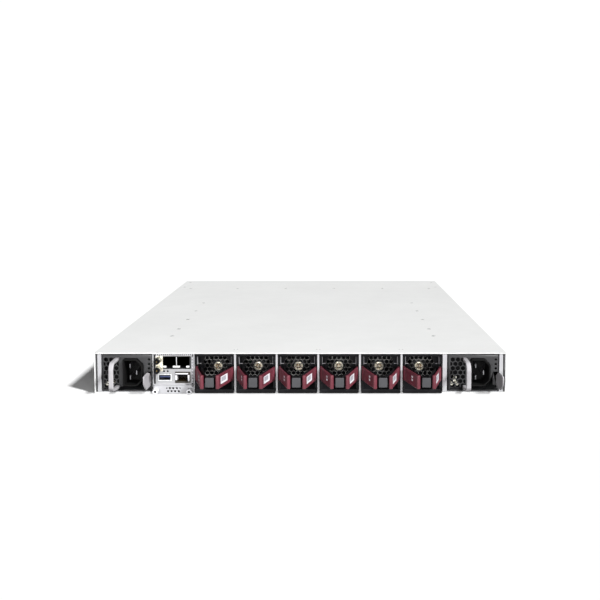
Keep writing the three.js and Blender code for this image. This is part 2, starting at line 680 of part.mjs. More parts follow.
const PSU_BOARD = { half: 24, y: [30, 320], low: 5.2, high: 6.8 };
const PSU_BLOCKS = [ // transformers and the heat spreader: X, Y, and height above the case floor
  { x: [-20, 12], y: [60, 96], high: 34 },
  { x: [-22, 8], y: [112, 160], high: 36 },
  { x: [-6, 22], y: [180, 226], high: 32 },
  { x: [14, 17], y: [60, 170], high: 34 },
];
const PSU_CAPACITOR = { x: -14, y: 200, radius: 9, high: 36 };

function psuBoard() {
  const { half, y, low, high } = PSU_BOARD;
  const can = PSU_CAPACITOR;
  return join(
    block([-half, half], y, [low, high]),
    ...PSU_BLOCKS.map((lump) => block(lump.x, lump.y, [high - BITE, lump.high])),
    roundZ(can.x, can.y, can.radius, high - BITE, can.high, 12),
  );
}

function psuInlet() {
  const { left, right, low, high, deep, recess, wall } = INLET;
  const cutRight = right - INLET_CHAMFER;
  const corners = [[left, low], [cutRight, low], [right, low + INLET_CHAMFER]];
  corners.push([right, high - INLET_CHAMFER], [cutRight, high], [left, high]);
  const inset = corners.map(([x, z]) => [
    x + (x < 0 ? wall : -wall),
    z + (z < (low + high) / 2 ? wall : -wall),
  ]);
  const shroud = cut(prismY(corners, -INLET_PROUD, deep), prismY(inset, -INLET_PROUD - THROUGH, recess));
  const { places, half, halfHigh, from } = PINS;
  const pin = ([x, z], start) => {
    return block([x - half, x + half], [start, recess + THROUGH], [z - halfHigh, z + halfHigh]);
  };
  return join(shroud, ...places.map((place) => pin(place, from)), pin(EARTH_PIN.place, EARTH_PIN.from));
}

function psuHandle() {
  const { x, width, thick, low, high, reach, bend, ease } = HANDLE;
  const corner = bend + ease;
  const outside = [[-GAP, high], [bend - reach, high], [-reach, high - bend], [-reach, low + bend]];
  outside.push([bend - reach, low], [-GAP, low]);
  const inside = [[-GAP, low + thick], [corner - reach, low + thick], [thick - reach, low + corner]];
  inside.push([thick - reach, high - corner], [corner - reach, high - thick], [-GAP, high - thick]);
  return prismX([...outside, ...inside], x - width / 2, x + width / 2);
}

/** A flat spring arm inside the case that ends in a thumb tab outside it. */
function psuLatch() {
  const { x, thick, reach, inside, low, high } = PSU_LATCH;
  const tab = LATCH_TAB;
  const points = [[inside, low], [inside, high], [tab.neck, high], tab.shoulder, [tab.from, tab.high]];
  points.push([tab.bevel - reach, tab.high], [-reach, tab.high - tab.bevel], ...LATCH_CORNER);
  points.push([tab.neck, tab.low], [tab.neck, low]);
  const foot = block(
    [x, PSU_HALF - PSU_SHEET - GAP],
    [inside - LATCH_FOOT.long, inside],
    [LATCH_FOOT.low, LATCH_FOOT.high],
  );
  return join(prismX(points, x - thick / 2, x + thick / 2), foot);
}

function addPowerSupply(side) {
  const module = rearModule(PSU_CENTRES[side]);
  const name = `psu_${side}`;
  place(module, `${name}_case`, psuCase(), PSU_GREY);
  place(module, `${name}_board`, psuBoard(), BOARD_GREEN);
  place(module, `${name}_inlet`, psuInlet(), INLET_BLACK);
  place(module, `${name}_handle`, psuHandle(), HANDLE_GREY);
  place(module, `${name}_latch`, psuLatch(), HANDLE_GREY);
  const { hub, from, to, boss, bossFrom } = PSU_ROTOR;
  const turning = rotor(PSU_FAN_Z, hub, PSU_FAN_RADIUS, from, to, boss, bossFrom);
  place(module, `${name}_rotor`, turning, ROTOR_BLACK);
}

// ---------------------------------------------------------------------------------------------
// Management module: panel, board, network jacks, USB socket, coaxial sockets, thumbscrews
// ---------------------------------------------------------------------------------------------

function mgmtPanel() {
  const plate = block(MGMT_PLATE, [0, SHEET], [MGMT_STEP, MGMT_HIGH]);
  const step = block(MGMT_TAB, [-MGMT_PROUD, SHEET], [MGMT_STEP, MGMT_STEP + FRAME_SHEET]);
  const tab = block(MGMT_TAB, [-MGMT_PROUD, FRAME_SHEET - MGMT_PROUD], [MGMT_TAB_LOW, MGMT_STEP + BITE]);
  const face = [-THROUGH, SHEET + THROUGH];
  const windows = [JACK_PAIR, RJ45, USB].map((socket) => windowFor(socket, GAP, face));
  const coax = Object.values(COAX_HEIGHTS).map((z) => roundY(COAX_X, z, COAX.tail + GAP, ...face, 12));
  const bores = Object.values(THUMBSCREWS).map((middle) => screwBore(middle, -MGMT_PROUD - THROUGH, 0));
  return cut(join(plate, step, tab), ...windows, ...coax, ...bores);
}

const DECKS = { inset: 1, from: 2, lower: [9.4, 11.0], upper: [24.4, 26.0], upperEnd: 70 };
const DECK_TIE = { x: [-150, -120], y: [40, 46], z: [10.8, 24.6] };
const COAX_ROOM = { half: 4.2, y: [0, 12], z: [20, 27] };

/** Two decks, one under each row of sockets, tied by the connector between them. */
function mgmtBoard() {
  const x = [MGMT_PLATE[0] + DECKS.inset, MGMT_PLATE[1] - DECKS.inset];
  const coaxRoom = block([COAX_X - COAX_ROOM.half, COAX_X + COAX_ROOM.half], COAX_ROOM.y, COAX_ROOM.z);
  return join(
    cut(block(x, [DECKS.from, DECKS.upperEnd], DECKS.upper), coaxRoom),
    block(x, [DECKS.from, MGMT_DEPTH], DECKS.lower),
    block(DECK_TIE.x, DECK_TIE.y, DECK_TIE.z),
  );
}

/** A socket shell with straight-sided cavities that open towards the rear. */
function socketShell(socket, cavities, cavityDeep) {
  const shell = block([socket.left, socket.right], [BITE - 2 * GAP, socket.deep], [socket.low, socket.high]);
  return cut(shell, ...cavities.map(({ x, z }) => block(x, [-THROUGH, cavityDeep], z)));
}

function jackPair() {
  const { lefts, width, low, high, deep } = JACK_CAVITIES;
  const cavities = lefts.flatMap((left) => [
    { x: [left, left + width], z: [low, high] },
    { x: [left + JACK_NOTCH.from, left + JACK_NOTCH.to], z: [JACK_NOTCH.low, low + BITE] },
  ]);
  return socketShell(JACK_PAIR, cavities, deep);
}

function shieldedJack() {
  return socketShell(RJ45, [RJ45_CAVITY, RJ45_NOTCH], JACK_CAVITIES.deep);
}

function usbSocket() {
  const { x, y, z } = USB_TONGUE;
  return join(socketShell(USB, [USB_CAVITY], USB_CAVITY.deep), block(x, y, z));
}

function coaxSocket(z) {
  const { radius, nut, nutDeep, tail, reach, inside } = COAX;
  const profile = [[0, -reach], [radius, -reach], [radius, -nutDeep], [nut, -nutDeep], [nut, -GAP]];
  profile.push([tail, -GAP], [tail, inside], [0, inside]);
  return turnedY(COAX_X, z, profile, 16);
}

function thumbscrew() {
  const { radius, corner, long, shank, shankEnd } = SCREW_HEAD;
  const under = -MGMT_PROUD - GAP;
  const end = under - long;
  const profile = [[0, end], [radius - corner, end], [radius, end + corner], [radius, under]];
  profile.push([shank, under], [shank, shankEnd], [0, shankEnd]);
  return turnedY(0, THUMBSCREW_Z, profile, 14);
}

function addManagementModule() {
  const module = rearModule(0);
  place(module, 'mgmt_panel', mgmtPanel(), PLATE_STEEL);
  place(module, 'mgmt_board', mgmtBoard(), BOARD_GREEN);
  place(module, 'mgmt_jack_pair', jackPair(), JACK_BLACK);
  place(module, 'mgmt_shielded_jack', shieldedJack(), PORT_STEEL);
  place(module, 'mgmt_usb_socket', usbSocket(), PORT_STEEL);
  for (const [level, z] of Object.entries(COAX_HEIGHTS)) {
    place(module, `mgmt_coax_${level}`, coaxSocket(z), GOLD);
  }
  for (const [side, x] of Object.entries(THUMBSCREWS)) {
    place(rearModule(x), `mgmt_thumbscrew_${side}`, thumbscrew(), SCREW_STEEL);
  }
}

// ---------------------------------------------------------------------------------------------
// Assembly
// ---------------------------------------------------------------------------------------------

place(group, 'chassis_tray', chassisTray(), PAINT);
place(group, 'top_cover', topCover(), PAINT);
place(group, 'bay_frame', bayFrame(), FRAME_STEEL);
place(group, 'port_panel', portPanel(), PAINT);
place(group, 'port_cages', portCages(), PORT_STEEL);
place(group, 'main_board', mainBoard(), BOARD_GREEN);
place(group, 'heat_sink', heatSink(), ALUMINIUM);
place(group, 'power_board', powerBoard(), BOARD_GREEN);
place(group, 'fan_board', fanBoard(), BOARD_GREEN);

for (let i = 0; i < FAN_COUNT; i += 1) {
  addFanModule(i);
}
Object.keys(PSU_CENTRES).forEach(addPowerSupply);
addManagementModule();

export default group;
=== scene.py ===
"""Looks of a one-unit rackmount network switch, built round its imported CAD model.

The CAD model gives every place. Sizes here are in millimetres; `Build` turns them into metres. -Y is the
side with the fan modules and power supplies, which the camera faces, and +Y is the side with the ports.
"""

import json
import math

import bmesh
import bpy
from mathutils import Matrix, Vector
from mathutils.geometry import tessellate_polygon


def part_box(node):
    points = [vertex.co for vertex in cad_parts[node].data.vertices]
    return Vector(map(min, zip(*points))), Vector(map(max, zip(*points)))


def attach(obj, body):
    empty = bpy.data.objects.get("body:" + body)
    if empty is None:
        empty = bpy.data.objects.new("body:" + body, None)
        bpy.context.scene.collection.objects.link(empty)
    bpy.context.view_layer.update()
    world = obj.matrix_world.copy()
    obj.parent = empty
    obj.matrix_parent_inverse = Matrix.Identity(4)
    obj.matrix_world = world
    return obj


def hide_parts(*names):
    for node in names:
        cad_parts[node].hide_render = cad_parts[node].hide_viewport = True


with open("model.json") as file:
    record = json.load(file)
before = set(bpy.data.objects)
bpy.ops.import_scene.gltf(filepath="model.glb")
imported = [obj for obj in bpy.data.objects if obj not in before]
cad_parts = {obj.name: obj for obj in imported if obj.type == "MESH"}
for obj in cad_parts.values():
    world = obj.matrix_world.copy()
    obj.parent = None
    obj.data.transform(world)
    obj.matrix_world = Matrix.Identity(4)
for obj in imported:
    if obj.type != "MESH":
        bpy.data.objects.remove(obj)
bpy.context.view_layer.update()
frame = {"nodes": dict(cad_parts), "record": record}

MM = 0.001
FANS = range(1, 7)
SIDES = ("left", "right")
MIRROR = {"left": -1, "right": 1}

# Camera: level across the rear face, looking slightly down
CAMERA_PLACE = (0.02856, -1.10418, 0.23443)
CAMERA_PITCH = 0.07
CAMERA_LENS = 47.05
CAMERA_SHIFT = (-0.0450, -0.1192)
CAMERA_SENSOR = 36.0
CAMERA_CLIP = (0.05, 50.0)


def millimetres(node):
    """Lowest and highest corner of a CAD node, in millimetres."""
    low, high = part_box(node)
    return low / MM, high / MM


def middle(node):
    low, high = millimetres(node)
    return (low + high) / 2


REAR = millimetres("chassis_tray")[0].y
FRONT = millimetres("chassis_tray")[1].y
TOP = millimetres("top_cover")[1].z


def add_camera():
    data = bpy.data.cameras.new("camera")
    data.sensor_width = CAMERA_SENSOR
    data.lens = CAMERA_LENS
    data.shift_x, data.shift_y = CAMERA_SHIFT
    data.clip_start, data.clip_end = CAMERA_CLIP
    camera = bpy.data.objects.new("camera", data)
    bpy.context.scene.collection.objects.link(camera)
    camera.location = CAMERA_PLACE
    camera.rotation_euler = (math.pi / 2 - CAMERA_PITCH, 0, 0)
    bpy.context.scene.camera = camera


# ---- Materials ----

finishes = {}  # name of a finish: its material


class Shader:
    """A material under construction: a Principled shader and the nodes that feed it."""

    def __init__(self, name):
        self.material = bpy.data.materials.new(name)
        self.material.use_nodes = True
        self.nodes = self.material.node_tree.nodes
        self.surface = self.nodes["Principled BSDF"]
        self.place = self.nodes.new("ShaderNodeTexCoord").outputs["Object"]

    def link(self, output, node, name):
        self.material.node_tree.links.new(output, node.inputs[name])

    def noise(self, per_metre, stretch=(1, 1, 1), detail=3.0):
        """Grey noise with that many features per metre, stretched along an axis by a smaller number."""
        mapping = self.nodes.new("ShaderNodeMapping")
        mapping.inputs["Scale"].default_value = stretch
        self.link(self.place, mapping, "Vector")
        noise = self.nodes.new("ShaderNodeTexNoise")
        noise.inputs["Scale"].default_value = per_metre
        noise.inputs["Detail"].default_value = detail
        self.link(mapping.outputs["Vector"], noise, "Vector")
        return noise.outputs["Fac"]

    def between(self, value, low, high, start=0.3, stop=0.7):
        """Turns grey values from start to stop into numbers from low to high."""
        ramp = self.nodes.new("ShaderNodeMapRange")
        ramp.inputs["From Min"].default_value = start
        ramp.inputs["From Max"].default_value = stop
        ramp.inputs["To Min"].default_value = low
        ramp.inputs["To Max"].default_value = high
        self.link(value, ramp, "Value")
        return ramp.outputs["Result"]

    def mix(self, share, one, other):
        """one and other are colours or outputs; share is an output from 0 to 1."""
        blend = self.nodes.new("ShaderNodeMix")
        blend.data_type = "RGBA"
        self.link(share, blend, "Factor")
        for socket, colour in ((blend.inputs[6], one), (blend.inputs[7], other)):
            if isinstance(colour, tuple):
                socket.default_value = (*colour, 1.0)
            else:
                self.material.node_tree.links.new(colour, socket)
        return blend.outputs[2]

    def edges(self, radius):
        """1 on edges and 0 on flat ground, from how far a rounded normal leans away from the true one."""
        rounded = self.nodes.new("ShaderNodeBevel")
        rounded.inputs["Radius"].default_value = radius * MM
        true = self.nodes.new("ShaderNodeNewGeometry")
        dot = self.nodes.new("ShaderNodeVectorMath")
        dot.operation = "DOT_PRODUCT"
        self.material.node_tree.links.new(rounded.outputs["Normal"], dot.inputs[0])
        self.material.node_tree.links.new(true.outputs["Normal"], dot.inputs[1])
        return self.between(dot.outputs["Value"], 1.0, 0.0, 0.80, 0.97)

    def times(self, one, other):
        product = self.nodes.new("ShaderNodeMath")
        product.operation = "MULTIPLY"
        self.material.node_tree.links.new(one, product.inputs[0])
        self.material.node_tree.links.new(other, product.inputs[1])
        return product.outputs[0]

    def bump(self, height, strength, distance=0.05):
        bump = self.nodes.new("ShaderNodeBump")
        bump.inputs["Strength"].default_value = strength
        bump.inputs["Distance"].default_value = distance * MM
        self.link(height, bump, "Height")
        self.link(bump.outputs["Normal"], self.surface, "Normal")


def scaled(colour, factor):
    return tuple(min(1.0, c * factor) for c in colour)


def powder_coat(name, colour, roughness, edge_colour=None, strength=0.12, specular=0.3):
    """Sprayed and baked paint: a fine orange peel, faint clouds of tone and rubbed edges."""
    shader = Shader(name)
    shader.surface.inputs["Specular IOR Level"].default_value = specular
    clouds = shader.between(shader.noise(14.0), 0.0, 1.0)
    tone = shader.mix(clouds, scaled(colour, 0.975), scaled(colour, 1.015))
    if edge_colour:
        scuffs = shader.between(shader.noise(900.0), 0.15, 0.8)
        tone = shader.mix(shader.times(shader.edges(0.4), scuffs), tone, edge_colour)
    shader.link(tone, shader.surface, "Base Color")
    rough = shader.between(shader.noise(60.0), roughness - 0.05, roughness + 0.06)
    shader.link(rough, shader.surface, "Roughness")
    shader.bump(shader.noise(1800.0, detail=2.0), strength)
    finishes[name] = shader.material


def moulded(name, colour, roughness, edge_colour=None, strength=0.15, specular=0.4):
    """Injection-moulded plastic: spark-eroded texture, slight flow clouds, and paler edges that are a
    painted highlight where light catches them.
    """
    shader = Shader(name)
    shader.surface.inputs["Specular IOR Level"].default_value = specular
    clouds = shader.between(shader.noise(45.0), 0.0, 1.0)
    tone = shader.mix(clouds, scaled(colour, 0.86), scaled(colour, 1.12))
    if edge_colour:
        # paler edges: a painted highlight along lit rims
        tone = shader.mix(shader.edges(0.35), tone, edge_colour)
    shader.link(tone, shader.surface, "Base Color")
    rough = shader.between(shader.noise(160.0), roughness - 0.06, roughness + 0.08)
    shader.link(rough, shader.surface, "Roughness")
    shader.bump(shader.noise(2600.0, detail=2.0), strength)
    finishes[name] = shader.material


def metal(name, colour, roughness, stretch=(1, 1, 1), lines=900.0, strength=0.08, stain=0.9):
    """Plated or brushed metal: drawn lines along the small stretch axis, and patches of duller plating."""
    shader = Shader(name)
    shader.surface.inputs["Metallic"].default_value = 1.0
    streaks = shader.noise(lines, stretch)
    patches = shader.between(shader.noise(70.0), 0.0, 1.0)
    shader.link(shader.mix(patches, scaled(colour, stain), colour), shader.surface, "Base Color")
    shader.link(shader.between(streaks, roughness - 0.07, roughness + 0.1), shader.surface, "Roughness")
    shader.bump(streaks, strength, 0.02)
    finishes[name] = shader.material


def circuit_board(name, colour):
    """Green solder mask with copper traces showing through as a lighter maze."""
    shader = Shader(name)
    cells = shader.nodes.new("ShaderNodeTexVoronoi")
    cells.distance = "CHEBYCHEV"
    cells.inputs["Scale"].default_value = 320.0
    shader.link(shader.place, cells, "Vector")
    tracks = shader.between(cells.outputs["Distance"], 0.0, 1.0, 0.36, 0.42)
    shader.link(shader.mix(tracks, colour, scaled(colour, 1.9)), shader.surface, "Base Color")
    shader.link(shader.between(shader.noise(120.0), 0.3, 0.42), shader.surface, "Roughness")
    shader.bump(tracks, 0.2)
    finishes[name] = shader.material


def make_slot_finishes(colour):
    """Finishes in the colours of the record's material slots, each named after its slot."""
    powder_coat("chassis_paint", colour["chassis_paint"], 0.5, specular=0.2)
    powder_coat("frame_steel", colour["frame_steel"], 0.42, edge_colour=(0.75, 0.75, 0.76))
    fan_black = scaled(colour["fan_black"], 0.62)
    # the paler edge colour is a painted highlight on the lit edges of the mouth and grille webs
    moulded("fan_black", fan_black, 0.4, edge_colour=(0.04, 0.04, 0.043), specular=0.08)
    # the paler edge colour is a painted highlight along the lever's lit rim
    moulded("lever_red", colour["lever_red"], 0.4, edge_colour=(0.30, 0.10, 0.13), specular=0.35)
    moulded("grip_grey", scaled(colour["grip_grey"], 0.75), 0.6, strength=0.3, specular=0.2)
    moulded("rotor_black", colour["rotor_black"], 0.45, specular=0.2)
    powder_coat("psu_grey", colour["psu_grey"], 0.5, edge_colour=(0.10, 0.10, 0.10), strength=0.2)
    moulded("handle_grey", scaled(colour["handle_grey"], 0.8), 0.45)
    metal("plate_steel", colour["plate_steel"], 0.34, stretch=(0.06, 1, 1))
    metal("port_steel", colour["port_steel"], 0.3, stretch=(1, 0.06, 1))
    moulded("jack_black", colour["jack_black"], 0.4, specular=0.15)
    metal("connector_gold", colour["connector_gold"], 0.24, stain=0.75)
    metal("screw_steel", colour["screw_steel"], 0.28, lines=2400.0)
    circuit_board("board_green", colour["board_green"])
    metal("heat_sink_aluminium", colour["heat_sink_aluminium"], 0.38, stretch=(1, 0.03, 1))


def make_detail_finishes():
    """Finishes of small parts and marks that differ from their slot's own colour."""
    powder_coat("panel_steel", (0.37, 0.37, 0.38), 0.36)
    powder_coat("tab_steel", (0.46, 0.46, 0.48), 0.36)
    moulded("inlet_deep", (0.008, 0.008, 0.008), 0.5, specular=0.05)
    moulded("label_white", (0.80, 0.80, 0.84), 0.35, strength=0.03)
    moulded("label_grey", (0.40, 0.40, 0.44), 0.4, strength=0.03)
    # painted highlight for the edges of the fan mouth's cheeks
    moulded("cheek_highlight_grey", (0.36, 0.35, 0.37), 0.3, strength=0.05)
    # painted highlights for the edges of the grille's holes, a bright copy and a dim copy
    moulded("rim_highlight_bright", (0.82, 0.81, 0.79), 0.3, strength=0.05)
    moulded("rim_highlight_dim", (0.34, 0.33, 0.32), 0.3, strength=0.05)
    metal("bearing_cream", (1.0, 0.92, 0.76), 0.34, strength=0.02)
    moulded("hub_brown", (0.42, 0.27, 0.13), 0.5)
    moulded("ceramic_cream", (0.95, 0.88, 0.76), 0.4, strength=0.05)
    moulded("usb_blue", (0.02, 0.03, 0.09), 0.4)
    powder_coat("coax_cream", (0.80, 0.77, 0.66), 0.4)
    metal("gilded", (0.90, 0.86, 0.72), 0.36)
    # dark shell colour: painted shade on the shielded jack's metal shell
    powder_coat("shield_painted_shade", (0.03, 0.026, 0.02), 0.5)
    powder_coat("nickel", (0.80, 0.80, 0.83), 0.3, strength=0.05, specular=0.6)
    moulded("lamp_white", (0.88, 0.89, 0.9), 0.35, strength=0.02)
    moulded("lamp_green", (0.10, 0.36, 0.14), 0.3, strength=0.02)
    metal("blade_nickel", (0.24, 0.24, 0.25), 0.4)
    moulded("deep_black", (0.006, 0.006, 0.007), 0.6, specular=0.1)


make_slot_finishes({entry["slot"]: tuple(entry["base_color"]) for entry in frame["record"]["materials"]})
make_detail_finishes()


# ---- Meshes ----


def smooth_group():
    """Geometry nodes that shade a mesh smooth, so that its bevels catch the light as round edges."""
    tree = bpy.data.node_groups.new("shade_smooth", "GeometryNodeTree")
    tree.interface.new_socket("Geometry", in_out="INPUT", socket_type="NodeSocketGeometry")
    tree.interface.new_socket("Geometry", in_out="OUTPUT", socket_type="NodeSocketGeometry")
    start = tree.nodes.new("NodeGroupInput")
    smooth = tree.nodes.new("GeometryNodeSetShadeSmooth")
    end = tree.nodes.new("NodeGroupOutput")
    tree.links.new(start.outputs[0], smooth.inputs[0])
    tree.links.new(smooth.outputs[0], end.inputs[0])
    return tree


SHADE_SMOOTH = smooth_group()
SHARP_ANGLE = 35.0  # an edge that bends by more degrees is rounded
FLAT_ANGLE = 0.8  # faces that bend by fewer are joined
WELD_GAP = 0.002
COS_30 = math.cos(math.pi / 6)


def shade(piece):
    """Shades large faces flat and the small ones round them smooth."""
    smooth = piece.modifiers.new("smooth", "NODES")
    smooth.node_group = SHADE_SMOOTH
    normals = piece.modifiers.new("flat_faces", "WEIGHTED_NORMAL")
    normals.weight = 100


def round_edges(piece, width):
    """Rounds every sharp edge by width millimetres."""
    bevel = piece.modifiers.new("round_edges", "BEVEL")
    bevel.width = width * MM
    bevel.segments = 2
    bevel.limit_method = "ANGLE"
    bevel.angle_limit = math.radians(SHARP_ANGLE)
    bevel.use_clamp_overlap = True
    shade(piece)


def offset_loop(points, distance):
    """Moves each side of an anticlockwise outline outwards by distance."""
    moved = []
    for i, point in enumerate(points):
        here = Vector(point)
        before = (here - Vector(points[i - 1])).normalized()
        after = (Vector(points[(i + 1) % len(points)]) - here).normalized()
        out_before = Vector((before.y, -before.x))
        out_after = Vector((after.y, -after.x))
        moved.append(here + (out_before + out_after) * distance / (1 + out_before.dot(out_after)))
    return [tuple(point) for point in moved]


def anticlockwise(points):
    area = sum(points[i - 1][0] * p[1] - p[0] * points[i - 1][1] for i, p in enumerate(points))
    return list(points) if area > 0 else list(reversed(points))


PLACE = {
    "X": lambda a, b, along: (along, a, b),
    "Y": lambda a, b, along: (a, along, b),
    "Z": lambda a, b, along: (a, b, along),
}


class Build:
    """A mesh under construction, in millimetres."""

    def __init__(self):
        self.bm = bmesh.new()

    def _skin(self, ring, following, sides):
        for i in range(sides):
            j = (i + 1) % sides
            corners = [ring[i % len(ring)], ring[j % len(ring)], following[j % len(following)]]
            corners.append(following[i % len(following)])
            unique = list(dict.fromkeys(corners))
            if len(unique) > 2:
                self.bm.faces.new(unique)

    def sheet(self, outline, start, stop, axis="Y", holes=(), bevel=0.2):
        """Extrudes an outline with holes along an axis, with bevelled rims.

        Points are (x, z) for the Y axis, (x, y) for Z and (y, z) for X.
        """
        place = PLACE[axis]
        loops = [(anticlockwise(outline), -bevel)] + [(anticlockwise(hole), bevel) for hole in holes]
        rims = ([], [])
        flat = []
        for points, step in loops:
            narrow = offset_loop(points, step)
            flat.append([Vector((*point, 0)) for point in narrow])
            levels = ((narrow, start), (points, start + bevel), (points, stop - bevel), (narrow, stop))
            rings = [[self.bm.verts.new(place(a, b, along)) for a, b in level] for level, along in levels]
            for ring, following in zip(rings, rings[1:]):
                self._skin(ring, following, len(points))
            rims[0].extend(rings[0])
            rims[1].extend(rings[-1])
        for corners in tessellate_polygon(flat):
            for rim in rims:
                self.bm.faces.new([rim[i] for i in corners])
        return self

    def box(self, x, y, z, bevel=0.2):
        """A bevelled block. Its ranges may run either way."""
        (x0, x1), (y0, y1), z = sorted(x), sorted(y), sorted(z)
        outline = [(x0, z[0]), (x1, z[0]), (x1, z[1]), (x0, z[1])]
        return self.sheet(outline, y0, y1, bevel=bevel)

    def lathe(self, centre, profile, sides=32, axis="Y"):
        """Turns (radius, along) pairs round an axis through centre. A radius of 0 closes an end."""
        place = PLACE[axis]
        rings = []
        for radius, along in profile:
            steps = 1 if radius == 0 else sides
            angles = [2 * math.pi * i / sides for i in range(steps)]
            spots = [place(radius * math.cos(t), radius * math.sin(t), along) for t in angles]
            rings.append([self.bm.verts.new(Vector(spot) + Vector(centre)) for spot in spots])
        for ring, following in zip(rings, rings[1:]):
            self._skin(ring, following, sides)
        return self

    def loft(self, rings, closed=False):
        """Skins rings of points in turn. The ends are capped, or joined to each other if closed."""
        loops = [[self.bm.verts.new(point) for point in ring] for ring in rings]
        for loop, following in zip(loops, loops[1:] + loops[:1] if closed else loops[1:]):
            self._skin(loop, following, len(loop))
        if not closed:
            self.bm.faces.new(loops[0])
            self.bm.faces.new(loops[-1])
        return self

    def sweep(self, path, section):
        """Carries a closed section of (x, up) pairs along a path of (y, z) points."""
        rings = []
        for i, (y, z) in enumerate(path):
            ahead, behind = path[min(i + 1, len(path) - 1)], path[max(i - 1, 0)]
            along = (Vector(ahead) - Vector(behind)).normalized()
            rings.append([(a, y - along.y * b, z + along.x * b) for a, b in section])
        return self.loft(rings)

    def mesh(self, name):
        bmesh.ops.recalc_face_normals(self.bm, faces=self.bm.faces[:])
        bmesh.ops.scale(self.bm, vec=(MM, MM, MM), verts=self.bm.verts[:])
        mesh = bpy.data.meshes.new(name)
        self.bm.to_mesh(mesh)
        self.bm.free()
        return mesh

    def piece(self, name, body, finish, slot=None, replaces=()):
        """Finishes the mesh as a named piece on a body. The slot argument is not used."""
        mesh = self.mesh(name)
        mesh.materials.append(finishes[finish])
        made = bpy.data.objects.new(name, mesh)
        bpy.context.scene.collection.objects.link(made)
        shade(made)
        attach(made, body)
        if replaces:
            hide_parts(*replaces)


def carve_chassis(node, name, cutters, width):
    """Replaces a painted CAD node by a copy without the cutters' shapes and with rounded edges."""
    made = bpy.data.objects.new(name, frame["nodes"][node].data.copy())
    tool = bpy.data.objects.new("cutters", cutters.mesh("cutters"))
    for item in (made, tool):
        bpy.context.scene.collection.objects.link(item)
    made.material_slots[0].material = finishes["chassis_paint"]
    weld = made.modifiers.new("weld", "WELD")
    weld.merge_threshold = WELD_GAP * MM
    carve = made.modifiers.new("carve", "BOOLEAN")
    carve.solver = "EXACT"
    carve.object = tool
    flat = made.modifiers.new("flat", "DECIMATE")
    flat.decimate_type = "DISSOLVE"
    flat.angle_limit = math.radians(FLAT_ANGLE)
    evaluated = made.evaluated_get(bpy.context.evaluated_depsgraph_get())
    made.data = bpy.data.meshes.new_from_object(evaluated)
    made.modifiers.clear()
    bpy.data.objects.remove(tool)
    round_edges(made, width)
    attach(made, "chassis")
    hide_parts(node)


def dress(node, slot):
    """Gives a CAD node, which keeps its shape, its finish."""
    frame["nodes"][node].material_slots[0].material = finishes[slot]


def arc(centre, radius, start, stop, steps=8):
    """Points on an arc from start to stop degrees."""
    angles = [math.radians(start + (stop - start) * i / steps) for i in range(steps + 1)]
    return [(centre[0] + radius * math.cos(a), centre[1] + radius * math.sin(a)) for a in angles]


def circle(x, z, radius, sides=24):
    return arc((x, z), radius, 0, 360, sides)[:-1]


def hexagon(x, z, across):
    """A hexagon with a corner at the top, that far across its flats."""
    return arc((x, z), across / 2 / COS_30, 30, 390, 6)[:-1]


def half_hexagon(x, z, across, side):
    """The right (1) or left (-1) half of a hexagon with a corner at the top."""
    flat, reach = x + side * across / 2, across / 2 / COS_30
    return [(x, z - reach), (flat, z - reach / 2), (flat, z + reach / 2), (x, z + reach)]


def rectangle(x, z):
    return [(x[0], z[0]), (x[1], z[0]), (x[1], z[1]), (x[0], z[1])]


def rounded(x, z, radius, steps=5):
    """A rectangle with round corners."""
    corners = (
        ((x[1] - radius, z[1] - radius), 0),
        ((x[0] + radius, z[1] - radius), 90),
        ((x[0] + radius, z[0] + radius), 180),
        ((x[1] - radius, z[0] + radius), 270),
    )
    return [point for centre, start in corners for point in arc(centre, radius, start, start + 90, steps)]


def around(centre, half):
    return (centre - half, centre + half)


# ---- Chassis ----

RIVET_PAIRS_X = (-70.6, 19.0, 108.9)  # pairs of small rivets near the cover's rear edge
RIVET_PAIRS_IN = 17.0
RIVET_PITCH = 3.4
RIVET_SIZE = 0.42  # of a cover screw
SIDE_SCREWS_X = 153.8
SIDE_SCREWS_IN = (88.0, 129.5, 193.0, 256.6, 323.7)
FRONT_SCREWS_X = (40.0, 120.4, 198.0)
FRONT_SCREWS_IN = 470.7
CORNER_SCREWS = ((211.0, 486.0), (211.0, 539.0))  # from the middle, and in from the rear edge
EAR_SCREWS_IN = (498.0, 516.0, 534.0)
EAR_SCREWS_Z = (12.0, 32.0)
RAIL_SCREWS_IN = (60.0, 300.0, 440.0)
RAIL_SCREWS_Z = 22.0
# extent of a dark strip: painted shade on the rail's front edge above the fan bays
RAIL_SHADE_X = (-112.8, 151.8)
RAIL_SHADE_Z = (41.2, 42.5)


def cover_screw_places():
    places = [(sign * SIDE_SCREWS_X, REAR + y) for sign in (-1, 1) for y in SIDE_SCREWS_IN]
    places += [(sign * x, REAR + FRONT_SCREWS_IN) for sign in (-1, 1) for x in FRONT_SCREWS_X]
    places += [(sign * x, REAR + y) for sign in (-1, 1) for x, y in CORNER_SCREWS]
    return places


def rivet_places():
    half = RIVET_PITCH / 2
    return [(x + sign * half, REAR + RIVET_PAIRS_IN) for x in RIVET_PAIRS_X for sign in (-1, 1)]


def screw_in_dimple(holes, screws, centre, face, outwards, axis, size=1.0):
    """A countersunk screw below a face. outwards is the direction away from the sheet, 1 or -1."""

    def profile(*pairs):
        return [(radius * size, face - outwards * depth) for radius, depth in pairs]

    holes.lathe(centre, profile((0, 1.0), (1.5, 1.0), (2.9, -0.05), (2.9, -1.0), (0, -1.0)), 32, axis)
    drive = ((0, 0.6), (0.85, 0.6), (1.0, 0.16), (2.3, 0.14), (2.55, 0.3), (1.5, 0.95))
    screws.lathe(centre, profile(*drive), 32, axis)


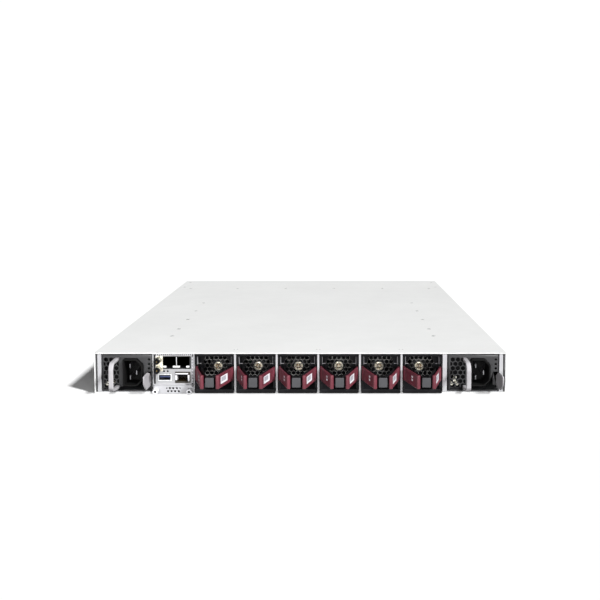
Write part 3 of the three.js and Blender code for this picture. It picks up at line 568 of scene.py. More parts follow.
def build_cover():
    """The cover with dimples for its countersunk screws and rivets, and the fasteners in them."""
    holes, screws = Build(), Build()
    for x, y in cover_screw_places():
        screw_in_dimple(holes, screws, (x, y, 0), TOP, 1, "Z")
    for x, y in rivet_places():
        screw_in_dimple(holes, screws, (x, y, 0), TOP, 1, "Z", size=RIVET_SIZE)
    carve_chassis("top_cover", "cover", holes, 0.45)
    screws.piece("cover_screws", "chassis", "screw_steel")


def build_rail_shade_strip():
    """A dark strip along the top edge of the fan bays: painted shade over the rail's front edge."""
    gasket = Build().box(RAIL_SHADE_X, (REAR + 0.1, REAR + 1.0), RAIL_SHADE_Z, 0.1)
    gasket.piece("rail_shade_strip", "chassis", "deep_black", "fan_black")


def build_tray():
    """The tray with countersunk screws in both side walls."""
    low, high = millimetres("chassis_tray")
    holes, screws = Build(), Build()
    spots = [(REAR + y, z) for y in EAR_SCREWS_IN for z in EAR_SCREWS_Z]
    spots += [(REAR + y, RAIL_SCREWS_Z) for y in RAIL_SCREWS_IN]
    for outwards, wall in ((-1, low.x), (1, high.x)):
        for y, z in spots:
            screw_in_dimple(holes, screws, (0, y, z), wall, outwards, "X")
    carve_chassis("chassis_tray", "tray", holes, 0.35)
    screws.piece("side_screws", "chassis", "screw_steel")


# ---- Fan modules ----

FAN_WALL = 1.2
FAN_SLEEVE_LOW = 2.8
FAN_CHEEK = 18.2  # inner face of the cheeks, from the module's middle
FAN_MOUTH = 14.0  # depth of the mouth in front of the grille
POCKET = (13.4, 31.2)  # heights between which the levers' roots are let into the cheeks
POCKET_DEEP = 6.0
GRILLE_PITCH = 4.8
GRILLE_HOLE = 4.36
GRILLE_THICK = 1.2
GRILLE_TOP = 35.1
GRILLE_ROWS = 5
GRILLE_REACH = 12.1
FAN_AXIS_Z = 21.9
FAN_BODY = (24.0, 80.0)
FAN_BORE = 18.2
FAN_MOTOR = (8.5, 58.0, 72.0)  # radius, and where it starts and stops, in from the face
FAN_STRUTS = (62.0, 65.0)
STRUT_HALF = 1.0
FAN_PLUG_HALF = 8.0
FAN_PLUG_IN = 94.0
FAN_PLUG_TOP = 12.0
RAMP = (5.2, 11.5)  # heights of the mouth's floor at the face and at the grille
LIP_DEEP = 2.6
LEVER_THICK = 2.1
LEVER_BAR = 4.0
LEVER_BORDER = 1.5
LEVER_RECESS = 0.7
LEVER_FOOT = 3.5  # the blade runs from this far behind the tip
LEVER_HEEL = 3.9  # to this far in front of the root
LEVER_TIP = (4.4, 1.4)  # length and corner radius of the tip bar
LABEL = ((0.12, 0.60), (3.4, 3.2))  # shares of the blade's length, and gaps below and above
LABEL_PATCH = ((0.16, 0.48), (5.6, 3.9))
TICKS = ((0.30, 0.40), (5.0, 8.2), 2.0)  # shares, gaps below, and height
YOKE_OUTER = 14.6
YOKE_INNER = 13.4
GRIP_HALF = 4.4
GRIP_THICK = 1.4
GRIP_Z = (16.0, 26.0)
RIM_HIGHLIGHT_WIDTH = 0.26  # width of the painted highlight round a grille hole
HUB_RING = (2.9, 5.0)
HUB_BAR = 0.35  # half the width of the bars across the hub ring
FAN_ROTOR = {"radius": 16.6, "hub": 8.8, "blades": 5, "start_in": 3.0}
BLADE_THICK = 1.1
BLADE_LEAN = 0.42  # how far, in radians, a blade's tip is swept back
BLADE_ROWS = 8
BLADE_STEPS = 4


def honeycomb(centre, top, pitch, across, rows, reach):
    """Rows of hexagon holes from the top down. Every second row is shifted by half a pitch."""
    holes = []
    columns = range(-int(reach / pitch) - 1, int(reach / pitch) + 2)
    for row in range(rows):
        shift = pitch / 2 if row % 2 else 0.0
        offsets = [shift + pitch * column for column in columns]
        z = top - row * pitch * COS_30
        holes += [hexagon(centre + u, z, across) for u in offsets if abs(u) <= reach]
    return holes


def fan_comb(centre):
    return honeycomb(centre, GRILLE_TOP, GRILLE_PITCH, GRILLE_HOLE, GRILLE_ROWS, GRILLE_REACH)


def add_fan_mouth(shell, centre, low, high):
    """Cheeks with pockets for the levers, roof, ramped floor and the lip along the foot."""
    bottom, behind = FAN_SLEEVE_LOW, REAR + FAN_MOUTH + 0.2
    for sign in (-1, 1):
        cheek = (centre + sign * FAN_CHEEK, centre + sign * (high.x - centre))
        shell.box(cheek, (REAR, behind), (POCKET[1], high.z), 0.3)
        shell.box(cheek, (REAR, behind), (bottom, POCKET[0]), 0.3)
        shell.box(cheek, (REAR + POCKET_DEEP, behind), POCKET, 0.2)
    shell.box((low.x, high.x), (REAR, REAR + POCKET_DEEP + 1), (high.z - FAN_WALL, high.z), 0.3)
    ramp = [(REAR, bottom), (REAR, RAMP[0]), (behind, RAMP[1]), (behind, bottom)]
    shell.sheet(ramp, centre - FAN_CHEEK - 1, centre + FAN_CHEEK + 1, "X", bevel=0.2)
    lip = [(REAR - 0.3, low.z), (REAR + 0.4, bottom + 0.2), (REAR + 0.4, 5.5)]
    lip += arc((REAR - LIP_DEEP + 1.5, 4.1), 1.5, 90, 180, 5)
    lip += arc((REAR - LIP_DEEP + 1.2, low.z + 1.2), 1.2, 180, 270, 4)
    shell.sheet(lip, low.x, high.x, "X", bevel=0.5)


def add_fan_body(shell, centre, low, high):
    """Grille, sleeve, block with the fan's bore, motor on its struts, and plug."""
    bottom, top = FAN_SLEEVE_LOW, high.z
    sleeve = rounded((low.x, high.x), (bottom, top), 0.5, 2)
    bore = rectangle((low.x + FAN_WALL, high.x - FAN_WALL), (bottom + FAN_WALL, top - FAN_WALL))
    shell.sheet(sleeve, REAR + POCKET_DEEP, high.y, holes=[bore])
    plate = rectangle((low.x + 1, high.x - 1), (bottom + 1, top - 1))
    shell.sheet(plate, REAR + FAN_MOUTH, REAR + FAN_MOUTH + GRILLE_THICK, holes=fan_comb(centre), bevel=0.12)
    hole = circle(centre, FAN_AXIS_Z, FAN_BORE, 48)
    shell.sheet(plate, REAR + FAN_BODY[0], REAR + FAN_BODY[1], holes=[hole], bevel=0.4)
    radius, near, far = FAN_MOTOR[0], REAR + FAN_MOTOR[1], REAR + FAN_MOTOR[2]
    motor = [(0, near), (radius - 0.8, near), (radius, near + 1)]
    motor += [(radius, far - 1), (radius - 0.8, far), (0, far)]
    shell.lathe((centre, 0, FAN_AXIS_Z), motor, 40)
    struts = (REAR + FAN_STRUTS[0], REAR + FAN_STRUTS[1])
    shell.box(around(centre, FAN_BORE + 0.6), struts, around(FAN_AXIS_Z, STRUT_HALF))
    shell.box(around(centre, STRUT_HALF), struts, (bottom + 0.8, top - 0.8))
    shell.box(around(centre, FAN_PLUG_HALF), (REAR + FAN_PLUG_IN, high.y), (bottom + 1.0, FAN_PLUG_TOP), 0.4)


def build_fan_shell(name):
    """The moulded housing, in one piece, then the painted highlights along its cheeks and round its grille's
    holes.
    """
    low, high = millimetres(f"{name}_housing")
    centre = middle(f"{name}_housing").x
    shell = Build()
    add_fan_mouth(shell, centre, low, high)
    add_fan_body(shell, centre, low, high)
    shell.piece(f"{name}_shell", name, "fan_black", replaces=[f"{name}_housing"])
    build_cheek_highlights(name, centre, high.z)
    build_grille_rim_highlights(name, centre)


def build_cheek_highlights(name, centre, top):
    """Thin grey strips along the mouth's cheeks: a painted highlight on the cheeks' edges."""
    cheek_highlights = Build()
    for sign in (-1, 1):
        edge = centre + sign * (FAN_CHEEK - 0.05)
        cheek_highlights.box((edge - sign * 0.35, edge), (REAR + 0.6, REAR + 6), (POCKET[1], top - 1.6), 0.1)
        cheek_highlights.box((edge - sign * 3.6, edge), (REAR + 5.4, REAR + 6.4), (POCKET[1] - 0.4, POCKET[1]), 0.1)
    cheek_highlights.piece(f"{name}_beads", name, "cheek_highlight_grey", "fan_black")


def build_grille_rim_highlights(name, centre):
    """Painted highlights round the grille's holes: bright in the top row and low down, dim between."""
    comb = fan_comb(centre)
    bright, dim = Build(), Build()
    top_row = max(z for hole in comb for _, z in hole) - GRILLE_HOLE
    for hole in comb:
        z = sum(point[1] for point in hole) / len(hole)
        rims = bright if z > top_row or z < FAN_AXIS_Z else dim
        outer, inner = (offset_loop(anticlockwise(hole), step) for step in (RIM_HIGHLIGHT_WIDTH / 2, -RIM_HIGHLIGHT_WIDTH / 2))
        rims.sheet(outer, REAR + FAN_MOUTH - 0.12, REAR + FAN_MOUTH + 0.2, holes=[inner])
    bright.piece(f"{name}_bright_rim_highlights", name, "rim_highlight_bright", "fan_black")
    dim.piece(f"{name}_dim_rim_highlights", name, "rim_highlight_dim", "fan_black")


def build_yoke(name):
    """The grip plate between the lever tips, with a rounded rim, and the dark arms that carry it."""
    low, high = millimetres(f"{name}_yoke")
    centre = middle(f"{name}_yoke").x
    outline = rounded(around(centre, GRIP_HALF), GRIP_Z, 0.7)
    plate = Build().sheet(outline, low.y, low.y + GRIP_THICK, bevel=0.35)
    plate.piece(f"{name}_grip", name, "grip_grey", replaces=[f"{name}_yoke"])
    arms = Build()
    for sign in (-1, 1):
        outline = [(3.4, low.y + 1.2), (YOKE_OUTER, REAR), (YOKE_OUTER, high.y), (YOKE_INNER, high.y)]
        outline += [(YOKE_INNER, REAR + 0.3), (2.2, low.y + 2.2)]
        arms.sheet([(centre + sign * x, y) for x, y in outline], low.z, high.z - 0.6, "Z", bevel=0.25)
    arms.piece(f"{name}_arms", name, "fan_black", "grip_grey")


def build_lever(fan, side):
    """A pinch lever: a sloping blade with a raised border, a recessed panel and a round tip bar."""
    sign = MIRROR[side]
    name = f"fan_{fan}_lever_{side}"
    low, high = millimetres(name)
    inner, outer = (low.x, high.x) if sign > 0 else (high.x, low.x)
    tip, root = low.y, high.y
    foot = Vector((inner + sign * LEVER_BAR, tip + LEVER_FOOT))
    top = Vector((outer, root - LEVER_HEEL))
    along = (top - foot).normalized()
    across = Vector((-along.y, along.x))
    if across.x * sign > 0:
        across = -across

    def at(share, depth):
        return tuple(foot + (top - foot) * share + across * depth)

    blade = Build()
    core = [at(0.0, LEVER_RECESS), at(1.0, LEVER_RECESS), at(1.0, LEVER_THICK), at(0.0, LEVER_THICK)]
    blade.sheet(core, low.z + 1.0, high.z - 1.0, "Z", bevel=0.1)
    rim = [at(-0.03, 0.0), at(1.0, 0.0), at(1.0, LEVER_THICK), at(-0.03, LEVER_THICK)]
    for bottom in (low.z, high.z - LEVER_BORDER):
        blade.sheet(rim, bottom, bottom + LEVER_BORDER, "Z", bevel=0.4)
    heel = [at(0.92, 0.0), at(1.0, 0.0), (outer, root), (outer - sign * LEVER_THICK, root)]
    heel += [at(1.0, LEVER_THICK), at(0.92, LEVER_THICK)]
    blade.sheet(heel, low.z, high.z, "Z", bevel=0.35)
    long, radius = LEVER_TIP
    bar = rounded(sorted((inner, inner + sign * LEVER_BAR)), (tip, tip + long), radius)
    blade.sheet(bar, low.z, high.z, "Z", bevel=0.8)
    blade.piece(f"{name}_blade", name, "lever_red", replaces=[name])
    add_lever_marks(name, side, at, (low.z, high.z))


def add_lever_marks(name, side, at, height):
    """A plain two-tone label in the right lever's panel, and two small ticks in the left one's."""

    def patch(build, shares, bottom, top, proud):
        start, stop = shares
        corners = [at(start, LEVER_RECESS - proud), at(stop, LEVER_RECESS - proud)]
        corners += [at(stop, LEVER_RECESS + 0.1), at(start, LEVER_RECESS + 0.1)]
        build.sheet(corners, bottom, top, "Z", bevel=0.04)

    white, grey = Build(), Build()
    if side == "right":
        shares, (below, above) = LABEL
        patch(white, shares, height[0] + below, height[1] - above, 0.12)
        shares, (below, above) = LABEL_PATCH
        patch(grey, shares, height[0] + below, height[1] - above, 0.18)
        grey.piece(f"{name}_patch", name, "label_grey", "lever_red")
    else:
        shares, gaps, tall = TICKS
        for gap in gaps:
            patch(white, shares, height[0] + gap, height[0] + gap + tall, 0.12)
    white.piece(f"{name}_mark", name, "label_white", "lever_red")


def blade_outline(share, turn, hub, radius, start, stop, half):
    """Points across one fan blade at a share of its span, from its leading to its trailing edge."""
    distance = hub - 0.6 + (radius - hub + 0.6) * share
    lean = turn + BLADE_LEAN * share * share
    points = []
    for j in range(BLADE_STEPS + 1):
        t = j / BLADE_STEPS
        angle = lean + half * (2 * t - 1)
        y = start + 4 + (stop - start - 8) * (0.5 - 0.5 * math.cos(math.pi * t))
        points.append((distance * math.cos(angle), y, distance * math.sin(angle)))
    return points


def build_rotor(name, radius, hub, blades, start_in):
    """A fan rotor: a round-edged cup with swept, twisted blades."""
    low, high = millimetres(name)
    centre = middle(name)
    spot = Vector((centre.x, 0, centre.z))
    start, stop = low.y + start_in, high.y
    made = Build()
    cup = [(0, start), (hub - 2, start), (hub - 0.6, start + 0.5), (hub, start + 2), (hub, stop), (0, stop)]
    made.lathe(spot, cup, 40)
    half = 2.0 / blades * 0.85
    for index in range(blades):
        turn = 2 * math.pi * index / blades
        shares = [i / BLADE_ROWS for i in range(BLADE_ROWS + 1)]
        rows = [blade_outline(share, turn, hub, radius, start, stop, half) for share in shares]
        rings = [row + [(x, y + BLADE_THICK, z) for x, y, z in reversed(row)] for row in rows]
        made.loft([[Vector(point) + spot for point in ring] for ring in rings])
    made.piece(f"{name}_blades", name, "rotor_black", replaces=[name])


def build_hub_ring(name):
    """The pale ring with a cross in it on the rotor's nose, round a brown core."""
    low, _ = millimetres(f"{name}_rotor")
    centre = middle(f"{name}_rotor")
    front, spot = low.y, (centre.x, 0, centre.z)
    inside, outside = HUB_RING
    ring = Build()
    profile = [(inside, front + 3), (inside, front + 0.4), (inside + 0.4, front), (outside - 0.4, front)]
    profile += [(outside, front + 0.4), (outside, front + 3)]
    ring.lathe(spot, profile + profile[:1], 36)
    span = inside + 0.4
    ring.box(around(centre.x, span), (front + 0.4, front + 1.6), around(centre.z, HUB_BAR), 0.1)
    ring.box(around(centre.x, HUB_BAR), (front + 0.5, front + 1.7), around(centre.z, span), 0.1)
    ring.piece(f"{name}_hub_ring", f"{name}_rotor", "bearing_cream", "rotor_black")
    core = Build()
    nose = [(0, front + 0.7), (1.1, front + 0.7), (1.4, front + 1.3), (inside + 0.2, front + 1.3)]
    nose += [(inside + 0.2, front + 3.5), (0, front + 3.5)]
    core.lathe(spot, nose, 24)
    core.piece(f"{name}_hub_core", f"{name}_rotor", "hub_brown", "rotor_black")


def build_fan(fan):
    name = f"fan_{fan}"
    build_fan_shell(name)
    build_yoke(name)
    for side in SIDES:
        build_lever(fan, side)
    build_rotor(f"{name}_rotor", **FAN_ROTOR)
    build_hub_ring(name)


# ---- Power supplies ----

PSU_COLUMNS = (-22.1, -16.7, -11.3)
PSU_HOLE = 4.5
PSU_FACE_THICK = 1.2
PSU_PITCH = 5.4
PSU_TOP_ROW = 36.4
PSU_ROWS = 7
PSU_SIDE_VENTS = (23.7, (36.6, 31.6, 27.0, 6.7), 2.3)  # across, heights, and across the flats
BLADE_SECTION = (0.8, 2.4, 0.5)  # half width, half height and corner of a mains blade
PSU_LATCH_WINDOW = ((21.0, 25.9), (9.4, 23.3))
INLET_WALL = 1.7
INLET_CHAMFER = 6.4
INLET_CORNER = 1.2
INLET_RECESS = 22.0
PIN_PLACES = ((6.3, 20.5, 6.5), (6.3, 7.9, 6.5), (14.1, 14.2, 3.0))  # across, up and in from the mouth
PSU_BEZEL = {"left": 1.8, "right": 1.0, "low": 0.8, "high": 2.0, "deep": 2.0}  # chamfer round the face
PSU_FAN_Z = 24.5
PSU_FAN_WALL = (292.0, 316.0)
PSU_FAN_BORE = 15.8
PSU_PLUG_GAP = (24.5, (4.6, 8.4))  # half width and heights of the opening for the board's plug
PSU_MOTOR = (6.5, 311.0, 315.5)
PSU_STRUTS = (312.0, 315.0)
PSU_ROTOR = {"radius": 14.8, "hub": 7.0, "blades": 7, "start_in": 1.0}
LATCH_THICK = 1.5
HANDLE_HALF = 1.5
HANDLE_BENDS = (7.0, 4.5)  # radii of the upper and the lower bend
HANDLE_TAIL = 8.0
HANDLE_RISE = 2.2  # the lower arm slopes down towards the face by this much
FILTER_IN = (4.2, 11.6)  # how far in from the face the filter parts start and stop
FILTER_PARTS = ((4.5, 9.0, 1.8), (10.2, 9.0, 1.8), (7.4, 13.0, 1.7), (8.8, 16.2, 1.2))


def supply_face_holes(centre, inlet):
    """The holes in a power supply's face: honeycomb, side vents, and windows for the inlet and latch."""
    holes = []
    for row in range(PSU_ROWS):
        z = PSU_TOP_ROW - row * PSU_PITCH * COS_30
        columns = [u + PSU_PITCH / 2 for u in PSU_COLUMNS[:2]] if row % 2 else PSU_COLUMNS
        holes += [hexagon(centre + u, z, PSU_HOLE) for u in columns]
        if row % 2:
            holes.append(half_hexagon(centre + PSU_COLUMNS[0] - PSU_PITCH / 2, z, PSU_HOLE, 1))
            holes.append(half_hexagon(centre + PSU_COLUMNS[-1] + PSU_PITCH / 2, z, PSU_HOLE, -1))
    x, heights, across = PSU_SIDE_VENTS
    holes += [hexagon(centre + x, z, across) for z in heights]
    holes.append(offset_loop(anticlockwise(inlet), 0.3))
    window_x, window_z = PSU_LATCH_WINDOW
    holes.append(rectangle([centre + u for u in window_x], window_z))
    return holes


def build_supply_shell(name):
    """The case: face with its holes, chamfered bezel, sleeve and fan."""
    low, high = millimetres(f"{name}_case")
    centre = middle(f"{name}_case").x
    face = low.y
    shell = Build()
    plate_x = (low.x + PSU_BEZEL["left"], high.x - PSU_BEZEL["right"])
    plate_z = (low.z + PSU_BEZEL["low"], high.z - PSU_BEZEL["high"])
    holes = supply_face_holes(centre, inlet_outline(name))
    shell.sheet(rectangle(plate_x, plate_z), face, face + PSU_FACE_THICK, holes=holes, bevel=0.18)
    outer = rectangle((low.x, high.x), (low.z, high.z))
    inner = rectangle((low.x + 1, high.x - 1), (low.z + 1, high.z - 1))
    behind = face + PSU_BEZEL["deep"]
    levels = [(rectangle(plate_x, plate_z), face + 0.12), (outer, behind), (inner, behind)]
    levels.append((inner, face + PSU_FACE_THICK))
    shell.loft([[(x, y, z) for x, z in loop] for loop, y in levels], closed=True)
    shell.sheet(outer, behind - 0.1, high.y, holes=[inner], bevel=0.1)
    add_supply_fan(shell, centre, low, high)
    shell.piece(f"{name}_shell", name, "psu_grey", replaces=[f"{name}_case"])


def add_supply_fan(shell, centre, low, high):
    """The wall at the inner end, with the fan's bore, and the motor on its struts."""
    half, heights = PSU_PLUG_GAP
    room = [circle(centre, PSU_FAN_Z, PSU_FAN_BORE, 48), rectangle(around(centre, half), heights)]
    wall = rectangle((low.x + 0.4, high.x - 0.4), (low.z + 0.4, high.z - 0.4))
    shell.sheet(wall, low.y + PSU_FAN_WALL[0], low.y + PSU_FAN_WALL[1], holes=room)
    radius, near, far = PSU_MOTOR[0], low.y + PSU_MOTOR[1], low.y + PSU_MOTOR[2]
    shell.lathe((centre, 0, PSU_FAN_Z), [(0, near), (radius, near), (radius, far), (0, far)], 32)
    struts = (low.y + PSU_STRUTS[0], low.y + PSU_STRUTS[1])
    shell.box(around(centre, PSU_FAN_BORE + 0.8), struts, around(PSU_FAN_Z, STRUT_HALF))


def inlet_outline(name):
    """The inlet's outline: wide chamfers on the right, narrow ones on the left."""
    low, high = millimetres(f"{name}_inlet")
    cut_off, corner = INLET_CHAMFER, INLET_CORNER
    outline = [(low.x + corner, low.z), (high.x - cut_off, low.z), (high.x, low.z + cut_off)]
    outline += [(high.x, high.z - cut_off), (high.x - cut_off, high.z), (low.x + corner, high.z)]
    return outline + [(low.x, high.z - corner), (low.x, low.z + corner)]


def build_inlet(name):
    """The mains inlet: a shroud with cut-off corners, its floor and three upright blades."""
    low, high = millimetres(f"{name}_inlet")
    outline = anticlockwise(inlet_outline(name))
    inside = offset_loop(outline, -INLET_WALL)
    shroud = Build().sheet(outline, low.y, low.y + 1.0 + INLET_RECESS, holes=[inside], bevel=0.35)
    shroud.sheet(offset_loop(outline, -0.2), low.y + INLET_RECESS, high.y, bevel=0.3)
    shroud.piece(f"{name}_inlet_shroud", name, "inlet_deep", "inlet_black", [f"{name}_inlet"])
    blades = Build()
    wide, tall, corner = BLADE_SECTION
    for x, z, start in PIN_PLACES:
        section = rounded(around(low.x + x, wide), around(low.z + z, tall), corner, 3)
        blades.sheet(section, low.y + start, low.y + INLET_RECESS + 1.5, bevel=0.4)
    blades.piece(f"{name}_mains_blades", name, "blade_nickel", "plate_steel")


def build_handle(name):
    """The handle: a flat bar with round edges, bent out of the face and back."""
    low, high = millimetres(f"{name}_handle")
    half, (upper, lower) = HANDLE_HALF, HANDLE_BENDS
    top, bottom, reach = high.z - half, low.z + half, low.y + half
    front = bottom + HANDLE_RISE
    path = [(high.y, top), (high.y - HANDLE_TAIL, top)]
    path += arc((reach + upper, top - upper), upper, 90, 180)
    path += arc((reach + lower, front + lower), lower, 180, 262)
    path += [(high.y - HANDLE_TAIL, bottom), (high.y, bottom)]
    strap = Build().sweep(path, rounded((low.x, high.x), (-half, half), 1.1, 4))
    strap.piece(f"{name}_strap", name, "handle_grey", replaces=[f"{name}_handle"])


def build_latch(name):
    """The release latch: a thumb tab on a spring arm with a foot inside the case."""
    low, high = millimetres(f"{name}_latch")
    thick = LATCH_THICK
    face = REAR
    tab = [(high.y, 11), (high.y, 20), (face - 2, 20), (face - 6, 23.6), (face - 15, high.z)]
    tab += arc((low.y + 2, high.z - 2), 2, 90, 180, 4) + [(low.y, 18), (low.y + 3.6, 13.8)]
    tab += [(face - 20.6, low.z), (face - 2, low.z), (face - 2, 11)]
    arm = Build().sheet(tab, low.x, low.x + thick, "X", bevel=0.4)
    arm.box((low.x + thick / 2, high.x), (high.y - 6, high.y), (12, 19))
    arm.piece(f"{name}_latch_arm", f"{name}_latch", "handle_grey", replaces=[f"{name}_latch"])


def build_filter_parts(name):
    """Pale filter capacitors behind the grille's lowest holes, and a dark insulating sheet behind them."""
    low, high = millimetres(f"{name}_case")
    parts = Build()
    near, far = low.y + FILTER_IN[0], low.y + FILTER_IN[1]
    for x, z, radius in FILTER_PARTS:
        profile = [(0, near), (radius - 0.5, near), (radius, near + 0.6), (radius, far - 0.6)]
        profile += [(radius - 0.5, far), (0, far)]
        parts.lathe((low.x + x, 0, z), profile, 24)
    parts.piece(f"{name}_filter", name, "ceramic_cream", "board_green")
    sheet = Build().box((low.x + 1.4, low.x + 20), (low.y + 12.2, low.y + 12.8), (3.6, high.z - 2))
    sheet.piece(f"{name}_insulating_sheet", name, "deep_black", "jack_black")


def build_supply(side):
    name = f"psu_{side}"
    build_supply_shell(name)
    build_inlet(name)
    build_handle(name)
    build_latch(name)
    build_filter_parts(name)
    dress(f"{name}_board", "board_green")
    build_rotor(f"{name}_rotor", **PSU_ROTOR)


# ---- Management module ----

TAB_HOLES = (  # x, z and radius
    (-142.1, 6.3, 0.8), (-138.9, 6.3, 1.15), (-135.3, 6.3, 1.15), (-131.4, 6.3, 1.15), (-128.0, 6.3, 0.8),
    (-140.8, 3.0, 1.15), (-137.1, 3.0, 1.15), (-133.3, 3.0, 1.15), (-129.4, 3.0, 1.15),
)
LAMP_PLACES = ((-145.5, 23.8), (-141.5, 23.8))
WINDOW_GAP = 0.1  # round the sockets in the panel
COAX_BORE = 2.9
COAX_NOSE = 3.4  # length of the dark insulating nose
COAX_NUT = 6.2  # across its flats
JACK_LEFTS = (-145.7, -131.2)
JACK_WIDE = 12.9
JACK_HEIGHT = (30.3, 39.6)
JACK_NOTCH = (3.6, 9.2)  # sides of the clip's notch, in from the jack's left side
JACK_NOTCH_LOW = 27.4
JACK_DEEP = 14.0
CONTACTS = 8
CONTACT_WIDE = 0.45
JACK_LAMPS = ((-146.2, -142.8), (-135.8, -128.3), (-121.6, -118.2))
JACK_DIVIDE = -131.9
SHIELD_OPENING = ((-131.8, -120.0), (12.8, 20.3))
USB_OPENING = ((-150.8, -138.5), (14.4, 19.8))
MGMT_THICK = 1.2
TAB_THICK = 1.0
MGMT_STEP = 9.2  # the fastening tab reaches up to here
MGMT_FACE = (-154.5, -115.9)
MGMT_PLATE_RIGHT = -114.4  # outer end of the side fingers
COAX_PLATE_RIGHT = -146.6
LEVELS = ("upper", "lower")
FINGER_PITCH = 2.1
SIDE_FINGER_PITCH = 1.6
KNURL_RADII = (2.88, 3.1)
KNURL_TEETH = 28


def window_around(node):
    low, high = millimetres(node)
    gap = WINDOW_GAP
    return rectangle((low.x - gap, high.x + gap), (low.z - gap, high.z + gap))


def coax_holes():
    places = [middle(f"mgmt_coax_{level}") for level in LEVELS]
    return [circle(place.x, place.z, COAX_BORE) for place in places]


def build_mgmt_face():
    """The upright panel with the sockets' windows and the lamps' holes."""
    _, high = millimetres("mgmt_panel")
    holes = [window_around(f"mgmt_{node}") for node in ("jack_pair", "shielded_jack", "usb_socket")]
    holes += coax_holes() + [circle(x, z, 1.1, 16) for x, z in LAMP_PLACES]
    outline = rectangle(MGMT_FACE, (MGMT_STEP, high.z))
    panel = Build().sheet(outline, REAR, REAR + MGMT_THICK, holes=holes, bevel=0.15)
    panel.piece("mgmt_face", "mgmt_module", "panel_steel", "plate_steel", ["mgmt_panel"])


def build_mgmt_tab():
    """The fastening tab in front of the panel's foot, with its air holes and a painted highlight along its
    upper edge.
    """
    low, high = millimetres("mgmt_panel")
    step = MGMT_STEP
    tab = Build().box((low.x, high.x), (low.y, REAR + MGMT_THICK), (step, step + TAB_THICK), 0.25)
    screws = [middle(f"mgmt_thumbscrew_{side}") for side in SIDES]
    holes = [circle(x, z, radius, 20) for x, z, radius in TAB_HOLES]
    holes += [circle(place.x, place.z, 1.7) for place in screws]
    outline = rounded((low.x, high.x), (low.z, step + 0.6), 3.2, 6)
    tab.sheet(outline, low.y, low.y + TAB_THICK, holes=holes, bevel=0.08)
    tab.piece("mgmt_tab", "mgmt_module", "tab_steel", "plate_steel")
    # pale strip on the tab's upper edge: painted highlight
    edge = Build().box((low.x + 2, high.x - 2), (low.y + 0.1, low.y + 0.4), (step + 0.4, step + 0.9), 0.1)
    edge.piece("mgmt_tab_edge_highlight", "mgmt_module", "label_white", "plate_steel")


def build_mgmt_backing():
    """Dark sheets behind the holes of the tab and of the panel."""
    low, high = millimetres("mgmt_panel")
    backing = Build()
    backing.box((low.x + 8, high.x - 8), (low.y + 0.5, low.y + 1.5), (low.z + 0.6, MGMT_STEP - 1), 0.1)
    for x, z in LAMP_PLACES:
        backing.box(around(x, 1.3), (REAR + 1.4, REAR + 3), around(z, 1.3), 0.1)
    coax = (MGMT_FACE[0], COAX_PLATE_RIGHT + 1)
    backing.box(coax, (REAR + 1.4, REAR + 2), (MGMT_STEP + 2, high.z - 1), 0.1)
    backing.piece("mgmt_backing", "mgmt_module", "deep_black", "jack_black")


def build_coax_plate():
    _, high = millimetres("mgmt_panel")
    outline = rectangle((MGMT_FACE[0] + 0.4, COAX_PLATE_RIGHT), (24.0, high.z - 0.4))
    plate = Build().sheet(outline, REAR - 0.25, REAR, holes=coax_holes())
    plate.piece("mgmt_coax_plate", "mgmt_module", "coax_cream", "plate_steel")


def build_mgmt_fingers():
    """Spring fingers in the gaps above and beside the panel, standing in dark gasket strips."""
    _, high = millimetres("mgmt_panel")
    left, right = MGMT_FACE
    top = high.z + 0.1
    tips = Build()
    for i in range(int((MGMT_PLATE_RIGHT - left) / FINGER_PITCH)):
        x = left + 0.6 + i * FINGER_PITCH
        tips.box((x, x + 1.0), (REAR - 0.15, REAR + 4), (top + 0.05, top + 1.1), 0.12)
    for i in range(int((high.z - 12) / SIDE_FINGER_PITCH)):
        z = 11.5 + i * SIDE_FINGER_PITCH
        tips.box((right + 0.2, MGMT_PLATE_RIGHT), (REAR - 0.15, REAR + 1), (z, z + 0.8), 0.12)
    tips.piece("mgmt_finger_tips", "mgmt_module", "label_white", "plate_steel")
    gasket = Build().box((left, MGMT_PLATE_RIGHT), (REAR, REAR + 4), (top, top + 1.1), 0.1)
    gasket.box((right, MGMT_PLATE_RIGHT + 0.8), (REAR, REAR + 4), (11, top), 0.1)
    gasket.piece("mgmt_gasket", "mgmt_module", "deep_black", "jack_black")


def jack_opening(left):
    """The outline of a network jack: a rectangle with a notch for the clip below it."""
    right, (low, high) = left + JACK_WIDE, JACK_HEIGHT
    near, far = (left + step for step in JACK_NOTCH)
    points = [(left, high), (left, low), (near, low), (near, JACK_NOTCH_LOW)]
    return points + [(far, JACK_NOTCH_LOW), (far, low), (right, low), (right, high)]


def add_contacts(pins, start, pitch, leaf):
    """A row of spring contacts. leaf is their outline from the side."""
    for i in range(CONTACTS):
        x = start + i * pitch
        pins.sheet(leaf, x, x + CONTACT_WIDE, "X", bevel=0.06)


